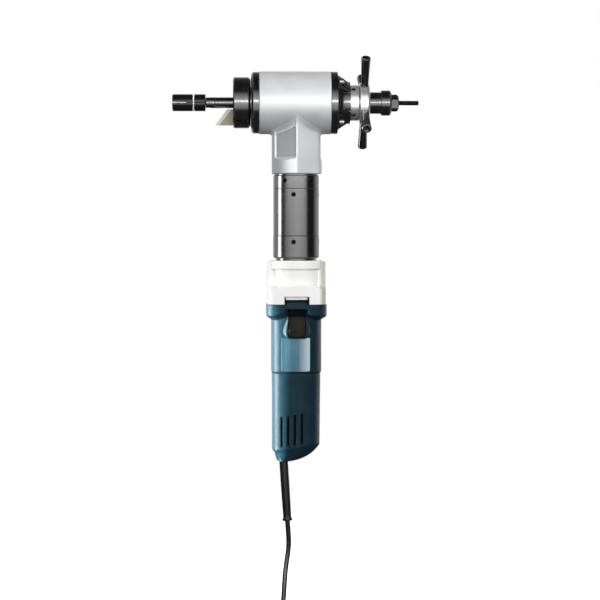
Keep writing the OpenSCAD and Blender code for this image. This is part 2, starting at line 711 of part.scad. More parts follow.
module rear_cover_screws() color("silver") at_cover_screws() rotate([0, 90, 0]) difference() {
    union() {
        soft_rod(8, 6, 0.1, 0.5);
        translate([0, 0, x_house1 - 8 - x_pocket]) cylinder(d = cover_screw_d, h = x_pocket - x_house1 + 8.5);
    }
    translate([0, 0, 3]) cylinder(d = 4.6, h = 4, $fn = 6);
}

// Bronze bush pressed into the rear cover; its key slides in the keyway of the mandrel
module guide_bush() color("darkgoldenrod") {
    difference() {
        rod_x(x_house1 - 2.8, x_cover1, guide_d + 7 - 2 * seat_fit);
        rod_x(x_house1 - 4, x_cover1 + 1, guide_d + 2 * run_fit);
    }
    translate([x_house1 + 2, guide_d / 2 - key_depth + 0.4, -key_w / 2 + run_fit])
        cube([x_cover1 - x_house1 - 4, key_depth + 1, key_w - 2 * run_fit]);
}

// Collar screwed to the rear cover, which holds the flange of the feed nut between two washers
nut_flange_d = feed_nut_d + 5;
washer_w = 1.6;
nut_flange_w = 4;

module retaining_collar() color("silver") difference() {
    translate([x_cover1, 0, 0]) rotate([0, 90, 0]) soft_rod(collar_d, collar_len, 0.4, edge);
    rod_x(x_cover1 - 1, x_cover1 + 2 * washer_w + nut_flange_w + 0.4, nut_flange_d + 1);
    rod_x(x_cover1, x_collar1 + 1, feed_nut_d + 2 * open_fit);
    for (a = [45 : 90 : 315]) rotate([a, 0, 0]) translate([x_cover1 + collar_len * 0.33, 0, nut_flange_d / 2])
        cylinder(d = spanner_d, h = collar_d);
}

module thrust_washers() color("lightslategray") {
    for (x = [x_cover1 + 0.05, x_cover1 + washer_w + nut_flange_w + 0.3]) difference() {
        rod_x(x, x + washer_w, nut_flange_d);
        rod_x(x - 1, x + washer_w + 1, feed_nut_d + 2 * open_fit);
    }
}

// Feed handle: bronze nut on the thread of the mandrel, silver hub and four spokes
module feed_nut() color("darkgoldenrod") difference() {
    union() {
        rod_x(x_cover1 + 0.2, x_hub1 - 0.4, feed_nut_d);
        rod_x(x_cover1 + washer_w + 0.15, x_cover1 + washer_w + 0.15 + nut_flange_w, nut_flange_d);
    }
    rod_x(x_cover1 - 1, x_hub1 + 1, guide_d + 2 * run_fit);
}

spoke_turns = [33, 123, 213, 303];
spoke_x = x_hub0 + hub_len / 2;
spoke_seat = hub_d / 2 - 3.5;
spoke_len = spoke_reach - spoke_seat;
// The end of a spoke is hollow inside a narrow rim
spoke_rim = 1.7;
spoke_hollow = 4;
hub_curve = [for (i = [0 : 8]) let (a = 90 * i / 8)
    [hub_d / 2 - hub_round + hub_round * cos(a), hub_len - hub_round + hub_round * sin(a)]];

module feed_hub() color("silver") difference() {
    turned_x(x_hub0, concat([[0, 0], [hub_d / 2 - 1, 0], [hub_d / 2, 1]], hub_curve, [[0, hub_len]]));
    rod_x(x_hub0 - 1, x_hub1 + 1, feed_nut_d + 2 * seat_fit);
    for (a = spoke_turns) rotate([a, 0, 0]) translate([spoke_x, 0, 0]) {
        translate([0, 0, feed_nut_d / 2 + 1]) cylinder(d = 6 + 2 * seat_fit, h = hub_d);
        translate([0, 0, spoke_seat]) cylinder(d = spoke_root_d + 0.8, h = hub_d);
    }
}

module handle_spokes() color("dimgray") for (a = spoke_turns) rotate([a, 0, 0]) translate([spoke_x, 0, 0]) {
    translate([0, 0, feed_nut_d / 2 + 1.2]) cylinder(d = 6, h = spoke_seat - feed_nut_d / 2);
    translate([0, 0, spoke_seat]) rotate_extrude() polygon([[0, 0], [spoke_root_d / 2, 0],
        [spoke_end_d / 2, spoke_len - 0.8], [spoke_end_d / 2 - 0.8, spoke_len],
        [spoke_end_d / 2 - spoke_rim, spoke_len], [spoke_end_d / 2 - spoke_rim - 0.4, spoke_len - spoke_hollow],
        [0, spoke_len - spoke_hollow]]);
}

// Gearbox housings: each one is screwed onto the spigot of the piece above it
module coupling_flange() color("dimgray") difference() {
    union() {
        rod_z(z_stem, z_flange - 1, barrel_d - 3.2);
        translate([head_x, 0, z_barrel]) soft_rod(barrel_d, flange_len, 0.5, 1);
        rod_z(z_barrel + 2, z_barrel - spigot_len, 2 * spigot_r);
    }
    rod_z(z_stem + 1, z_barrel + 3.8, 2 * spigot_r + 2 * seat_fit);
    rod_z(z_barrel + 5, z_pin_bear1 - small_w - 0.2, small_od + 2 * seat_fit);
    rod_z(z_barrel + 5, z_barrel - spigot_len - 1, small_od - 8);
    for (a = flange_turns) radial(a, z_flange - 7.2) cylinder(d = screw_d + 2 * seat_fit, h = barrel_d);
}

flange_turns = [for (i = [0 : 4]) 270 - 31 + 72 * i];
barrel_turns = [for (i = [0 : 3]) 270 - 8 + 90 * i];
screw_deep = barrel_wall - 0.25;

// Turn of the parts of the barrel that the screws sit in: they start below the surface and point outward
module radial(a, z) translate([head_x, 0, z]) rotate([0, 0, a]) rotate([0, 90, 0])
    translate([0, 0, barrel_d / 2 - screw_deep]) children();

module ring_gear_barrel() color("dimgray") difference() {
    translate([head_x, 0, z_input]) soft_rod(barrel_d, barrel_len, 0.5, 0.5);
    rod_z(z_barrel + 1, z_stage2 + 1.9, 2 * spigot_r + 2 * seat_fit);
    translate([head_x, 0, z_input - 1]) linear_extrude(barrel_len) rotate([0, 0, 180 / ring_teeth])
        polygon(gear_points(ring_teeth, gear_mod, gear_press, gear_ded, gear_add, -gear_play, 4));
    rod_z(z_input + 6, z_input - 1, 2 * spigot_r + 2 * seat_fit);
    for (a = barrel_turns) radial(a, z_barrel - 7.8) cylinder(d = screw_d + 2 * seat_fit, h = barrel_d);
}

input_floor = 16;

module input_flange() color("dimgray") difference() {
    union() {
        rod_z(z_input + 5.8, z_input - 1, 2 * spigot_r);
        translate([head_x, 0, z_input1]) soft_rod(input_d, input_len, 1.6, 0.6);
        rod_z(z_input1 + 1, z_case, barrel_d - 7);
    }
    rod_z(z_input + 8, z_input - 4, 2 * spigot_r - 6);
    rod_z(z_input, z_input - 4 - motor_bear_w, motor_bear_od + 2 * seat_fit);
    rod_z(z_input, z_case - 1, rotor_shaft_d + 4);
    rod_z(z_input - input_floor, z_case - 1, 2 * spigot_r - 8);
    for (a = barrel_turns) radial(a, z_input - 7.8) cylinder(d = screw_d + 2 * seat_fit, h = barrel_d);
}

module barrel_screw() difference() {
    cylinder(d = screw_d, h = screw_deep - 0.6);
    translate([0, 0, screw_deep - 2.4]) cylinder(d = screw_d * 0.55, h = 3, $fn = 6);
}

module barrel_screws() color([0.15, 0.15, 0.15]) {
    for (a = flange_turns) radial(a, z_flange - 7.2) barrel_screw();
    for (a = barrel_turns) radial(a, z_barrel - 7.8) barrel_screw();
    for (a = barrel_turns) radial(a, z_input - 7.8) barrel_screw();
}

module pinion_bearings() color("lightslategray") for (z = [z_pin_bear0, z_pin_bear1])
    translate([head_x, 0, z - small_w]) ball_bearing(pinion_shaft_d + 2 * run_fit, small_od, small_w, 8);

// Bevel pinion on the shaft of the second carrier
module bevel_pinion() color("lightslategray") {
    translate([head_x, 0, 0]) rotate([180, 0, 0]) rotate([0, 0, 180 / pinion_teeth])
        bevel_body(pinion_teeth, pinion_cone, pinion_back);
    rod_z(-pinion_back + 1, z_stage2, pinion_shaft_d);
}

module planet_pins(z0, z1) for (a = [0, 120, 240]) translate([head_x, 0, 0]) rotate([0, 0, a])
    translate([planet_at, 0, z1]) cylinder(d = pin_d, h = z0 - z1);

module carrier_2() color("lightslategray") {
    rod_z(z_stage2, z_stage2 - carrier_h, 2 * (planet_at + pin_d / 2 + 2));
    planet_pins(z_stage2 - carrier_h + 1, z_planet2 - planet_w - 0.4);
}

module sun(z0, z1) translate([head_x, 0, z1]) linear_extrude(z0 - z1)
    polygon(gear_points(sun_teeth, gear_mod, gear_press, gear_add, gear_ded, gear_play, 4));

module carrier_1() color("lightslategray") {
    rod_z(z_stage1, z_stage1 - carrier_h, 2 * (planet_at + pin_d / 2 + 2));
    planet_pins(z_stage1 - carrier_h + 1, z_planet1 - planet_w - 0.4);
    sun(z_planet2 + 0.3, z_stage1 - 0.5);
}

module planet(z, a) color("lightslategray") translate([head_x, 0, z - planet_w]) rotate([0, 0, a])
    translate([planet_at, 0, 0]) difference() {
        linear_extrude(planet_w) rotate([0, 0, 180 / planet_teeth])
            polygon(gear_points(planet_teeth, gear_mod, gear_press, gear_add, gear_ded, gear_play, 4));
        translate([0, 0, -1]) cylinder(d = pin_d + 2 * run_fit, h = planet_w + 2);
    }

module planet_1a() planet(z_planet1, 0);
module planet_1b() planet(z_planet1, 120);
module planet_1c() planet(z_planet1, 240);
module planet_2a() planet(z_planet2, 0);
module planet_2b() planet(z_planet2, 120);
module planet_2c() planet(z_planet2, 240);

// Gear case: a square foot whose shoulders are turned to a cone, a round waist and a band, with two side lugs
lug_w = 30;
notch_w = 32;
notch_h = 10;
case_screw_at = case_side / 2 - 9;
case_seat = 6;

module gear_case() color("whitesmoke") difference() {
    union() {
        translate([head_x, 0, z_waist]) soft_rod(case_band_d, case_band_h, 1.5, 1.5);
        rod_z(z_waist + 1, z_foot - 5, case_waist_d);
        intersection() {
            slab(case_side, 12, z_foot + 8, z_motor);
            translate([head_x, 0, z_motor]) rotate_extrude() polygon([[0, 0], [case_side * 0.7, 0],
                [case_side * 0.7, case_foot_h - 4.5], [case_waist_d / 2 - 2, case_foot_h + 2.4],
                [0, case_foot_h + 2.4]]);
        }
        intersection() {
            slab(case_side, 4, z_case - 1.5, z_motor + 4);
            translate([head_x - case_side, -lug_w / 2, z_motor]) cube([2 * case_side, lug_w, z_case - z_motor]);
        }
    }
    rod_z(z_case + 1, z_case - 3, 2 * spigot_r - 8);
    rod_z(z_case + 1, z_motor + motor_bear_w + 3, case_waist_d - 12);
    rod_z(z_case, z_motor - 1, rotor_shaft_d + 4);
    rod_z(z_motor + motor_bear_w, z_motor - 1, motor_bear_od + 2 * seat_fit);
    translate([head_x - notch_w / 2, -case_side / 2 - 1, z_motor - 1]) cube([notch_w, 5, notch_h + 1]);
    at_case_screws() cylinder(d = 4 + 2 * seat_fit, h = 2 * case_foot_h, center = true);
    at_case_screws() cylinder(d = 8.4, h = 30);
}

module at_case_screws() for (x = [-1, 1]) for (y = [-1, 1])
    translate([head_x + x * case_screw_at, y * case_screw_at, z_foot - case_seat]) children();

module gear_case_screws() color("silver") at_case_screws() difference() {
    union() {
        soft_rod(7.6, 3.4, 0.1, 0.8);
        translate([0, 0, z_motor - 12 - z_foot + case_seat])
            cylinder(d = 4, h = z_foot - case_seat - z_motor + 12.5);
    }
    translate([0, 0, 1.6]) cylinder(d = 3.4, h = 3, $fn = 6);
}

// Motor housing: square collar, shoulder and body; a sleeve inside carries the brushes and rear bearing
z_shoulder = z_motor - motor_collar_h;
z_body = z_shoulder - 8;
collar_round = 20;
body_round = motor_side * 0.4;
bezel_h = 27;
bezel_side = 5.5;

module motor_housing() color([0.1, 0.24, 0.29]) difference() {
    union() {
        slab(motor_collar, collar_round, z_motor, z_shoulder);
        hull() {
            slab(motor_collar - 1, collar_round, z_shoulder + 0.1, z_shoulder);
            slab(motor_side, body_round, z_body + 0.1, z_body);
        }
        slab(motor_side, body_round, z_body + 1, z_rear);
        rod_z(z_rear + 4, z_bear_rear - motor_bear_w, sleeve_d);
        translate([head_x - notch_w / 2 + 1, -case_side / 2 + 0.4, z_motor - 1])
            cube([notch_w - 2, 3, notch_h - 3]);
        translate([head_x, front_y - 2.6 + 12, z_switch + 3.5 - bezel_h / 2]) rotate([90, 0, 0])
            linear_extrude(12) polygon(round_box(switch_w + 2 * bezel_side, bezel_h + 7, 7, 6));
    }
    rod_z(z_motor + 1, z_fan - fan_h - 2, motor_side - 2 * shell_wall);
    rod_z(z_motor, z_rear + 3, motor_side - 2 * shell_wall);
    rod_z(z_rear + 5, z_bear_rear + sleeve_wall, sleeve_d - 2 * sleeve_wall);
    rod_z(z_rear, z_bear_rear - motor_bear_w - 1, rotor_shaft_d + 4);
    rod_z(z_rear, z_bear_rear - motor_bear_w + 2, motor_bear_od + 2 * seat_fit);
    translate([head_x - switch_w / 2 - 0.6, front_y - 10, z_switch - switch_h - 0.6])
        cube([switch_w + 1.2, 10, switch_h + 9.6]);
    translate([head_x - 5, front_y - 10, z_switch - switch_h + 4]) cube([10, 20, switch_h - 1]);
    for (x = [-1, 1]) translate([head_x + x * sleeve_d / 2, 0, z_com - com_h / 2])
        cube([sleeve_d / 2, 8.6, 10.6], center = true);
    at_case_screws() translate([0, 0, -40]) cylinder(d = 4 + 2 * seat_fit, h = 40);
}

// Rear housing: a rounded box cut along a slanting, bending end
end_r = 46;
rear_outline = concat(
    [[-rear_side / 2, z_rear - 0.4], [-rear_side / 2, z_end + 14], [-rear_side / 2 + 3, z_end + 11.5],
        [-rear_side / 2 + 5.6, z_end + 0.8], [-rear_side / 2 + 7, z_end]],
    [for (i = [0 : 8]) let (a = -90 + 53 * i / 8) [-8.6 + end_r * cos(a), z_end + end_r + end_r * sin(a)]],
    [[rear_side / 2 - 1.2, z_end + 28], [rear_side / 2 - 0.2, z_rear - 0.4]]);
vent_at = [-19.5, -11.4, -2.8, 6];
vent_h = 39;
// Wall across the inside that stops sight and dust behind the vents, and the shallow seat of the side latch
baffle_h = 62;
latch_deep = 1.2;

module rear_block(cut) intersection() {
    slab(rear_side - 2 * cut, rear_side * 0.38 - cut, z_rear - 0.4, z_end - 1);
    translate([head_x, rear_side, 0]) rotate([90, 0, 0]) linear_extrude(2 * rear_side) polygon(rear_outline);
}

module rear_housing() color([0.1, 0.24, 0.29]) difference() {
    rear_block(0);
    difference() {
        intersection() {
            rear_block(shell_wall);
            translate([head_x - rear_side, -rear_side, z_end + 24])
                cube([2 * rear_side, 2 * rear_side, rear_len]);
        }
        translate([head_x - rear_side, 12, z_end]) cube([2 * rear_side, 2, baffle_h]);
    }
    translate([head_x - rear_side, -8, z_rear - 20]) cube([rear_side / 2 + latch_deep, 16, 30]);
    for (turn = [0, 180]) for (i = [0 : 3]) translate([head_x, 0, z_end + 19 + 1.4 * i]) rotate([0, 0, turn])
        translate([vent_at[i] - vent_w / 2, -rear_side, 0])
            cube([vent_w, rear_side / 2 + shell_wall + 3, vent_h]);
    for (side = [0, 1]) mirror([0, side, 0]) translate([head_x - 8, -rear_side / 2, z_end + 17.5])
        rotate([0, -9, 0]) rotate([24, 0, 0]) translate([-60, -30, -50]) cube([120, 30, 50]);
    translate([boot_x, 0, z_end]) rotate([0, -boot_tilt, 0]) {
        cylinder(d = boot_d + 2 * seat_fit, h = 2 * boot_seat, center = true);
        translate([0, 0, boot_seat - 2])
            cylinder(d = boot_d + 2 * boot_flange + 2 * open_fit, h = 2 * boot_seat);
    }
}

// Motor inside
module stator_core() color("slategray") tube_z(z_stack, z_stack - stack_h, stator_od, stator_id);

module field_coils() color("chocolate") {
    tube_z(z_stack + coil_h, z_stack, stator_od - 2 * coil_step, stator_id + coil_step + 1);
    tube_z(z_stack - stack_h, z_stack - stack_h - coil_h, stator_od - 2 * coil_step, stator_id + coil_step + 1);
}

module motor_bearings() color("lightslategray") {
    for (z = [z_input - 4 - motor_bear_w, z_motor, z_bear_rear - motor_bear_w + 2])
        translate([head_x, 0, z]) ball_bearing(rotor_shaft_d + 2 * run_fit, motor_bear_od, motor_bear_w, 7);
}

module rotor_shaft() color("lightslategray") {
    sun(z_planet1 - 0.3, z_sun_end);
    rod_z(z_sun_end + 1, z_bear_rear - motor_bear_w + 2, rotor_shaft_d);
}

module rotor_core() color("slategray") difference() {
    union() {
        rod_z(z_stack, z_stack - stack_h, rotor_d);
        rod_z(z_stack + coil_h, z_stack - stack_h - coil_h, rotor_d - 2 * coil_step);
    }
    rod_z(z_stack + stack_h, z_stack - 2 * stack_h, rotor_shaft_d + 2 * seat_fit);
}

module commutator() color("peru") difference() {
    rod_z(z_com, z_com - com_h, com_d);
    rod_z(z_com + 1, z_com - com_h - 1, rotor_shaft_d + 2 * seat_fit);
    for (a = [0 : 15 : 345]) translate([head_x, 0, z_com - com_h - 1]) rotate([0, 0, a])
        translate([com_d / 2 - 1, -0.25, 0]) cube([2, 0.5, com_h + 2]);
}

module fan() color([0.25, 0.25, 0.25]) difference() {
    union() {
        rod_z(z_fan, z_fan - 2, motor_side - 12);
        rod_z(z_fan, z_fan - fan_h, rotor_shaft_d + 8);
        for (a = [0 : 30 : 330]) translate([head_x, 0, z_fan - fan_h]) rotate([0, 0, a])
            translate([rotor_shaft_d / 2 + 3, -0.8, 0])
                cube([motor_side / 2 - 11 - rotor_shaft_d / 2, 1.6, fan_h - 1]);
    }
    rod_z(z_fan + 1, z_fan - fan_h - 1, rotor_shaft_d + 2 * seat_fit);
}

brush_z = z_com - com_h / 2;

module both_brushes() for (a = [0, 180]) translate([head_x, 0, brush_z]) rotate([0, 0, a]) children();

module brush_holders() color("goldenrod") both_brushes() difference() {
    translate([com_d / 2 + 1.5, -4.2, -5.2]) cube([sleeve_d / 2 - com_d / 2 - 2, 8.4, 10.4]);
    translate([com_d / 2, -3.2, -4.2]) cube([sleeve_d / 2, 6.4, 8.4]);
}

module carbon_brushes() color([0.2, 0.2, 0.2]) both_brushes()
    translate([com_d / 2 + run_fit, -3.1, -4.1]) cube([sleeve_d / 2 - com_d / 2 - 4, 6.2, 8.2]);

module brush_springs() color("silver") both_brushes()
    translate([sleeve_d / 2 - 4 + run_fit, -1.6, -4]) cube([0.6, 3.2, 8]);

// Slide switch on the front of the motor housing
module switch_box() color([0.15, 0.15, 0.15]) difference() {
    translate([head_x - 8, front_y + 4.4, z_switch - switch_h]) cube([16, 7, switch_h + 1]);
    translate([head_x - 4.5, front_y, z_switch - switch_h + 4.2]) cube([9, 8.4, switch_h - 2]);
}

module switch_slider() color([0.12, 0.12, 0.12]) {
    difference() {
        translate([head_x - switch_w / 2, front_y - 5, z_switch - switch_h]) cube([switch_w, 4.7, switch_h]);
        translate([head_x - switch_w, front_y - 5, z_switch - switch_h]) rotate([40, 0, 0])
            translate([0, -10, -10]) cube([2 * switch_w, 10, 20]);
        for (i = [0 : 4]) translate([head_x - switch_w, front_y - 5.6, z_switch - 4 - 3 * i])
            cube([2 * switch_w, 1.4, 1.3]);
    }
    translate([head_x - 4, front_y - 0.5, z_switch - switch_h + 4.6]) cube([8, 7.6, switch_h - 12]);
}

// Cable boot with a head that the rear housing holds
module cable_boot() color([0.1, 0.1, 0.1]) {
    translate([boot_x, 0, z_end]) rotate([0, -boot_tilt, 0]) difference() {
        union() {
            translate([0, 0, -boot_len]) rotate_extrude() polygon([[0, 0], [cord_d, 0], [cord_d, 3],
                [boot_d / 2 - 0.4, 5], [boot_d / 2, boot_len], [boot_d / 2, boot_len + boot_seat + 8],
                [0, boot_len + boot_seat + 8]]);
            translate([0, 0, boot_seat]) cylinder(d = boot_d + 2 * boot_flange, h = 4);
        }
        translate([0, 0, -boot_len - 1]) cylinder(d = cord_d - 0.6, h = boot_len + 40);
        translate([0, 0, -boot_len - 1]) cylinder(d = cord_d + 0.4, h = 3);
        for (i = [0 : 7]) translate([0, 0, -boot_len + 9 + 5 * i]) difference() {
            cylinder(d = boot_d + 2, h = 1.4);
            cylinder(d = boot_d - 2.4, h = 1.4);
        }
    }
}

// Cord: the free stretch hangs from the boot to the ground, and the spare length lies there in a tied coil
module cord_lead() color([0.08, 0.08, 0.08]) {
    start = boot_end + [-2 * sin(boot_tilt), 0, 1.8];
    tube(concat([start], [for (p = lead_route) boot_end + p + [0, 0, -0.5]],
        [lead_end + [5, 0, 0], lead_end + [cord_joint, 0, 0]]), cord_d, 8, [0, 1, 0]);
    tube(tail_path, cord_d, 8, [0, 0, 1]);
}

function ease(t) = t * t * (3 - 2 * t);
// Radius and height of the coil after t turns: each turn shifts in its first half and runs round in its second
function coil_r(t) =
    let (layer = min(floor(t / coil_turns + 1e-6), coil_layers - 1), s = t - layer * coil_turns)
    let (k = floor(s + 1e-6), f = s - k, steps = k + ease(min(1, 2 * max(f, 0))))
    layer % 2 == 0 ? coil_outer - coil_pitch * steps : coil_inner + coil_pitch * steps;
function coil_h_at(t) =
    let (layer = min(floor(t / coil_turns + 1e-6), coil_layers - 1), s = t - layer * coil_turns)
    lay_z + coil_pitch * (layer + (layer < coil_layers - 1 ? ease(max(0, 2 * (s - coil_turns + 0.5))) : 0));
coil_total = coil_layers * coil_turns - 0.5;
function coil_point(t) = let (a = -90 - 360 * t)
    [coil_at[0] + coil_r(t) * cos(a), coil_at[1] + coil_r(t) * sin(a), coil_h_at(t)];
coil_wound = [for (i = [0 : coil_rings * coil_total]) coil_point(i / coil_rings)];
coil_last = coil_wound[len(coil_wound) - 1];
coil_path = concat([lead_end], coil_wound, [coil_last + [cord_d, 0, 0]]);

// Least gap of the wound tube to itself, between points more than half a turn apart
coil_gap = min([for (i = [0 : len(coil_path) - 1]) for (j = [i + 12 : 1 : len(coil_path) - 1])
    norm(coil_path[i] - coil_path[j])]) - cord_d;
echo(coil_gap = coil_gap);

module cord_coil() color([0.08, 0.08, 0.08]) tube(coil_path, cord_d, 6, [0, 0, 1]);

// End of the cord, from the coil down to the plug that lies beside it
plug_r = 17;
plug_axis_z = floor_z + plug_r;
tail_len = 42;
tail_start = coil_last + [cord_d + cord_joint, 0, 0];
plug_x = coil_last[0] + cord_d + tail_len;
tail_path = concat([tail_start], [for (i = [0 : 5]) let (f = i / 5)
    tail_start + [4 + (tail_len - 8) * f, 0, (plug_axis_z - coil_last[2]) * ease(f)]],
    [[plug_x - cord_joint, coil_last[1], plug_axis_z]]);

module coil_tie() color([0.2, 0.2, 0.2]) {
    reach = coil_outer - coil_inner + cord_d;
    high = coil_layers * coil_pitch + 0.2;
    translate([coil_at[0] + (coil_outer + coil_inner) / 2, coil_at[1], floor_z + high / 2]) rotate([90, 0, 0])
        linear_extrude(9, center = true) difference() {
            polygon(round_box(reach + 2.8, high + 2, 5, 5));
            polygon(round_box(reach + 0.8, high, 4, 5));
        }
}

module plug() {
    color([0.1, 0.1, 0.1]) translate([plug_x, coil_last[1], plug_axis_z]) rotate([0, 90, 0]) rotate_extrude()
        polygon([[0, 0], [cord_d / 2 + 2, 0], [cord_d / 2 + 3, 9], [10.5, 12], [12.5, 22], [plug_r - 1, 23.5],
            [plug_r, 24.5], [plug_r, 33], [plug_r - 1.5, 34.5], [0, 34.5]]);
    color("silver") for (y = [-9.5, 9.5]) translate([plug_x + 33.5, coil_last[1] + y, plug_axis_z])
        rotate([0, 90, 0]) soft_rod(4.8, 19.5, 0.1, 1);
}

mandrel_shaft();
stop_collar();
jaw_spring();
draw_bar();
expander_wedge();
draw_nut();
jaw_1();
jaw_2();
jaw_3();
main_housing();
front_ring();
spindle_bearings();
rear_cover();
rear_cover_screws();
guide_bush();
retaining_collar();
thrust_washers();
coupling_flange();
ring_gear_barrel();
input_flange();
barrel_screws();
pinion_bearings();
gear_case();
gear_case_screws();
motor_housing();
rear_housing();
stator_core();
field_coils();
motor_bearings();
brush_holders();
carbon_brushes();
brush_springs();
switch_box();
cable_boot();
cord_lead();
cord_coil();
coil_tie();
plug();
feed_hub();
feed_nut();
handle_spokes();
cutter_head();
bevel_tool();
tool_screws();
spindle();
bevel_gear();
bevel_pinion();
carrier_2();
carrier_1();
planet_1a();
planet_1b();
planet_1c();
planet_2a();
planet_2b();
planet_2c();
rotor_shaft();
rotor_core();
commutator();
fan();
switch_slider();
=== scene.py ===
"""Pipe beveling machine: its castings, plastic shells, lead and finishes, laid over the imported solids."""

import math

import bpy
import numpy as np
from bpy.props import FloatProperty, FloatVectorProperty, PointerProperty
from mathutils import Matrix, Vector


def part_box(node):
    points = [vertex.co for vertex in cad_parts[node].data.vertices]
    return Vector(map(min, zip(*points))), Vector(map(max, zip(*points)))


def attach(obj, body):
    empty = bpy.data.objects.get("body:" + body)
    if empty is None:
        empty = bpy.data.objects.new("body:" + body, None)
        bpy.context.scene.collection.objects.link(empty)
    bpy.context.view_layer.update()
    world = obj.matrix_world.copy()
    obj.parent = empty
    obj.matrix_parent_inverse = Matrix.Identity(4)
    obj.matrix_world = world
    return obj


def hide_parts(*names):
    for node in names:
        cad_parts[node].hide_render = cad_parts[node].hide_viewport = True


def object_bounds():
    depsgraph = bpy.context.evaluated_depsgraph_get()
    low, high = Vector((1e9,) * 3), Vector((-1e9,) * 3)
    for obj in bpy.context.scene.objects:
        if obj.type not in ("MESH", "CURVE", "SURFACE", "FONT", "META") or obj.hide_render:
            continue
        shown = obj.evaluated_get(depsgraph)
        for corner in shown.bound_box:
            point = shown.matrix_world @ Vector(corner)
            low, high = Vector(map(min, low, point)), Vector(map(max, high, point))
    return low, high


bl_info = {
    "name": "Pipe Beveling Machine",
    "version": (1, 0, 0),
    "blender": (4, 5, 0),
    "location": "View3D > Sidebar > Beveler",
    "description": "Castings, plastic shells, lead and finishes of a pipe beveling machine",
    "category": "Object",
}

MM = 0.001
TURN = 2 * math.pi

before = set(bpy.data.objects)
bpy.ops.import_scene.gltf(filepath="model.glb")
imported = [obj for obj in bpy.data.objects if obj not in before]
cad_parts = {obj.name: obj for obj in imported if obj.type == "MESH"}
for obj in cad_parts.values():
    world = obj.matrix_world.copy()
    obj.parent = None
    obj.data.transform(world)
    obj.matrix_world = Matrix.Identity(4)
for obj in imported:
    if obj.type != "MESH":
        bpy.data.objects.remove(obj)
CAD_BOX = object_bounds()


def reach(node, axis):
    """Lowest and highest coordinate of a node along one axis."""
    low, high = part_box(node)
    return low[axis], high[axis]


def middle(node, axis):
    """Middle of a node along one axis."""
    return sum(reach(node, axis)) / 2


# Three small sizes, then the places and radii that are taken from the frame
SHELL_SEAM = 0.4 * MM
SLIDER_PROUD = 5 * MM
SCREW_HEAD_R = 4 * MM
HEAD_X = middle("ring_gear_barrel", 0)
HOUSE_X0, HOUSE_X1 = reach("main_housing", 0)
HOUSE_R = reach("main_housing", 1)[1]
COVER_X1 = reach("rear_cover", 0)[1]
COVER_R = reach("rear_cover", 1)[1]
COVER_SCREW_R = (reach("rear_cover_screws", 1)[1] - SCREW_HEAD_R) * math.sqrt(2)
STEM_Z = reach("coupling_flange", 2)[1]
CASE_Z0 = reach("gear_case", 2)[0]
REAR_Z0, REAR_Z1 = reach("rear_housing", 2)
MOTOR_Z0 = REAR_Z1 + SHELL_SEAM
SWITCH_Z0, SWITCH_Z1 = reach("switch_slider", 2)
SWITCH_Z = (SWITCH_Z0 + SWITCH_Z1) / 2
FRONT_Y = reach("switch_slider", 1)[0] + SLIDER_PROUD
BAR_X0, BAR_X1 = reach("draw_bar", 0)
NUT_X1 = reach("draw_nut", 0)[1]
RING_X = middle("jaw_spring", 0)
RING_R = reach("jaw_spring", 1)[1]
PLUG_X0 = reach("plug", 0)[0]
PLUG_Y = middle("plug", 1)
PLUG_Z = middle("plug", 2)
FLOOR_Z = reach("cord_coil", 2)[0]


# Properties


def length_property(name, description, default):
    """A length that the sidebar shows in the scene's units."""
    return FloatProperty(name=name, description=description, default=default, unit="LENGTH")


def angle_property(name, description, degrees):
    """An angle, given in degrees."""
    return FloatProperty(name=name, description=description, default=math.radians(degrees), subtype="ANGLE")


def power_property(name, description, default):
    """The power of a lamp in watts."""
    return FloatProperty(name=name, description=description, default=default, unit="POWER")


def colour_property(name, description, default):
    """A colour that the sidebar shows with a swatch."""
    return FloatVectorProperty(
        name=name, description=description, default=default, subtype="COLOR", size=3, min=0.0, max=1.0
    )


class BevelerSizes(bpy.types.PropertyGroup):
    """Sizes of the castings, shells and lead"""

    stem_d: length_property("Stem", "Diameter of the casting's stem across its corners", 0.067)
    stem_w: length_property("Stem width", "Width of the stem between its side flats", 0.063)
    stem_flat: length_property("Stem flat", "From the stem's axis to its slanting flats", 0.029)
    fillet: length_property("Fillet", "Rounding between the stem and the barrel", 0.004)
    ledge: length_property("Ledge", "Height of the stem's foot under the panels", 0.0205)
    panel: length_property("Panel", "Depth of the sunk panels", 0.0010)
    collar_side: length_property("Motor collar", "Width of the motor's top collar", 0.078)
    body_side: length_property("Motor body", "Width of the motor's grip", 0.065)
    rear_side: length_property("Rear end", "Width of the rear housing", 0.063)
    vent: length_property("Vent", "Width of one air slot", 0.0028)
    slider_w: length_property("Slider", "Width of the switch slider", 0.021)
    boot_d: length_property("Boot", "Diameter of the cable boot", 0.0114)
    cord_d: length_property("Lead", "Diameter of the mains lead", 0.0065)
    bar_d: length_property("Draw bar", "Diameter of the draw bar", 0.006)
    thread: length_property("Thread", "Pitch of the draw bar's thread", 0.001)


class BevelerColours(bpy.types.PropertyGroup):
    """Colours of the finishes"""

    silver: colour_property("Casting", "Satin silver of the head casting", (0.445, 0.452, 0.459))
    bright: colour_property("Bright steel", "Turned and polished steel", (0.78, 0.78, 0.79))
    black: colour_property("Blackened steel", "Oiled black of the steel pieces", (0.0035, 0.0035, 0.004))
    blue: colour_property("Motor plastic", "Dark blue of the motor shells", (0.0075, 0.025, 0.036))
    white: colour_property("Gear case", "White enamel of the gear case", (0.92, 0.92, 0.90))
    rubber: colour_property("Rubber", "Black rubber of boot and lead", (0.005, 0.005, 0.005))


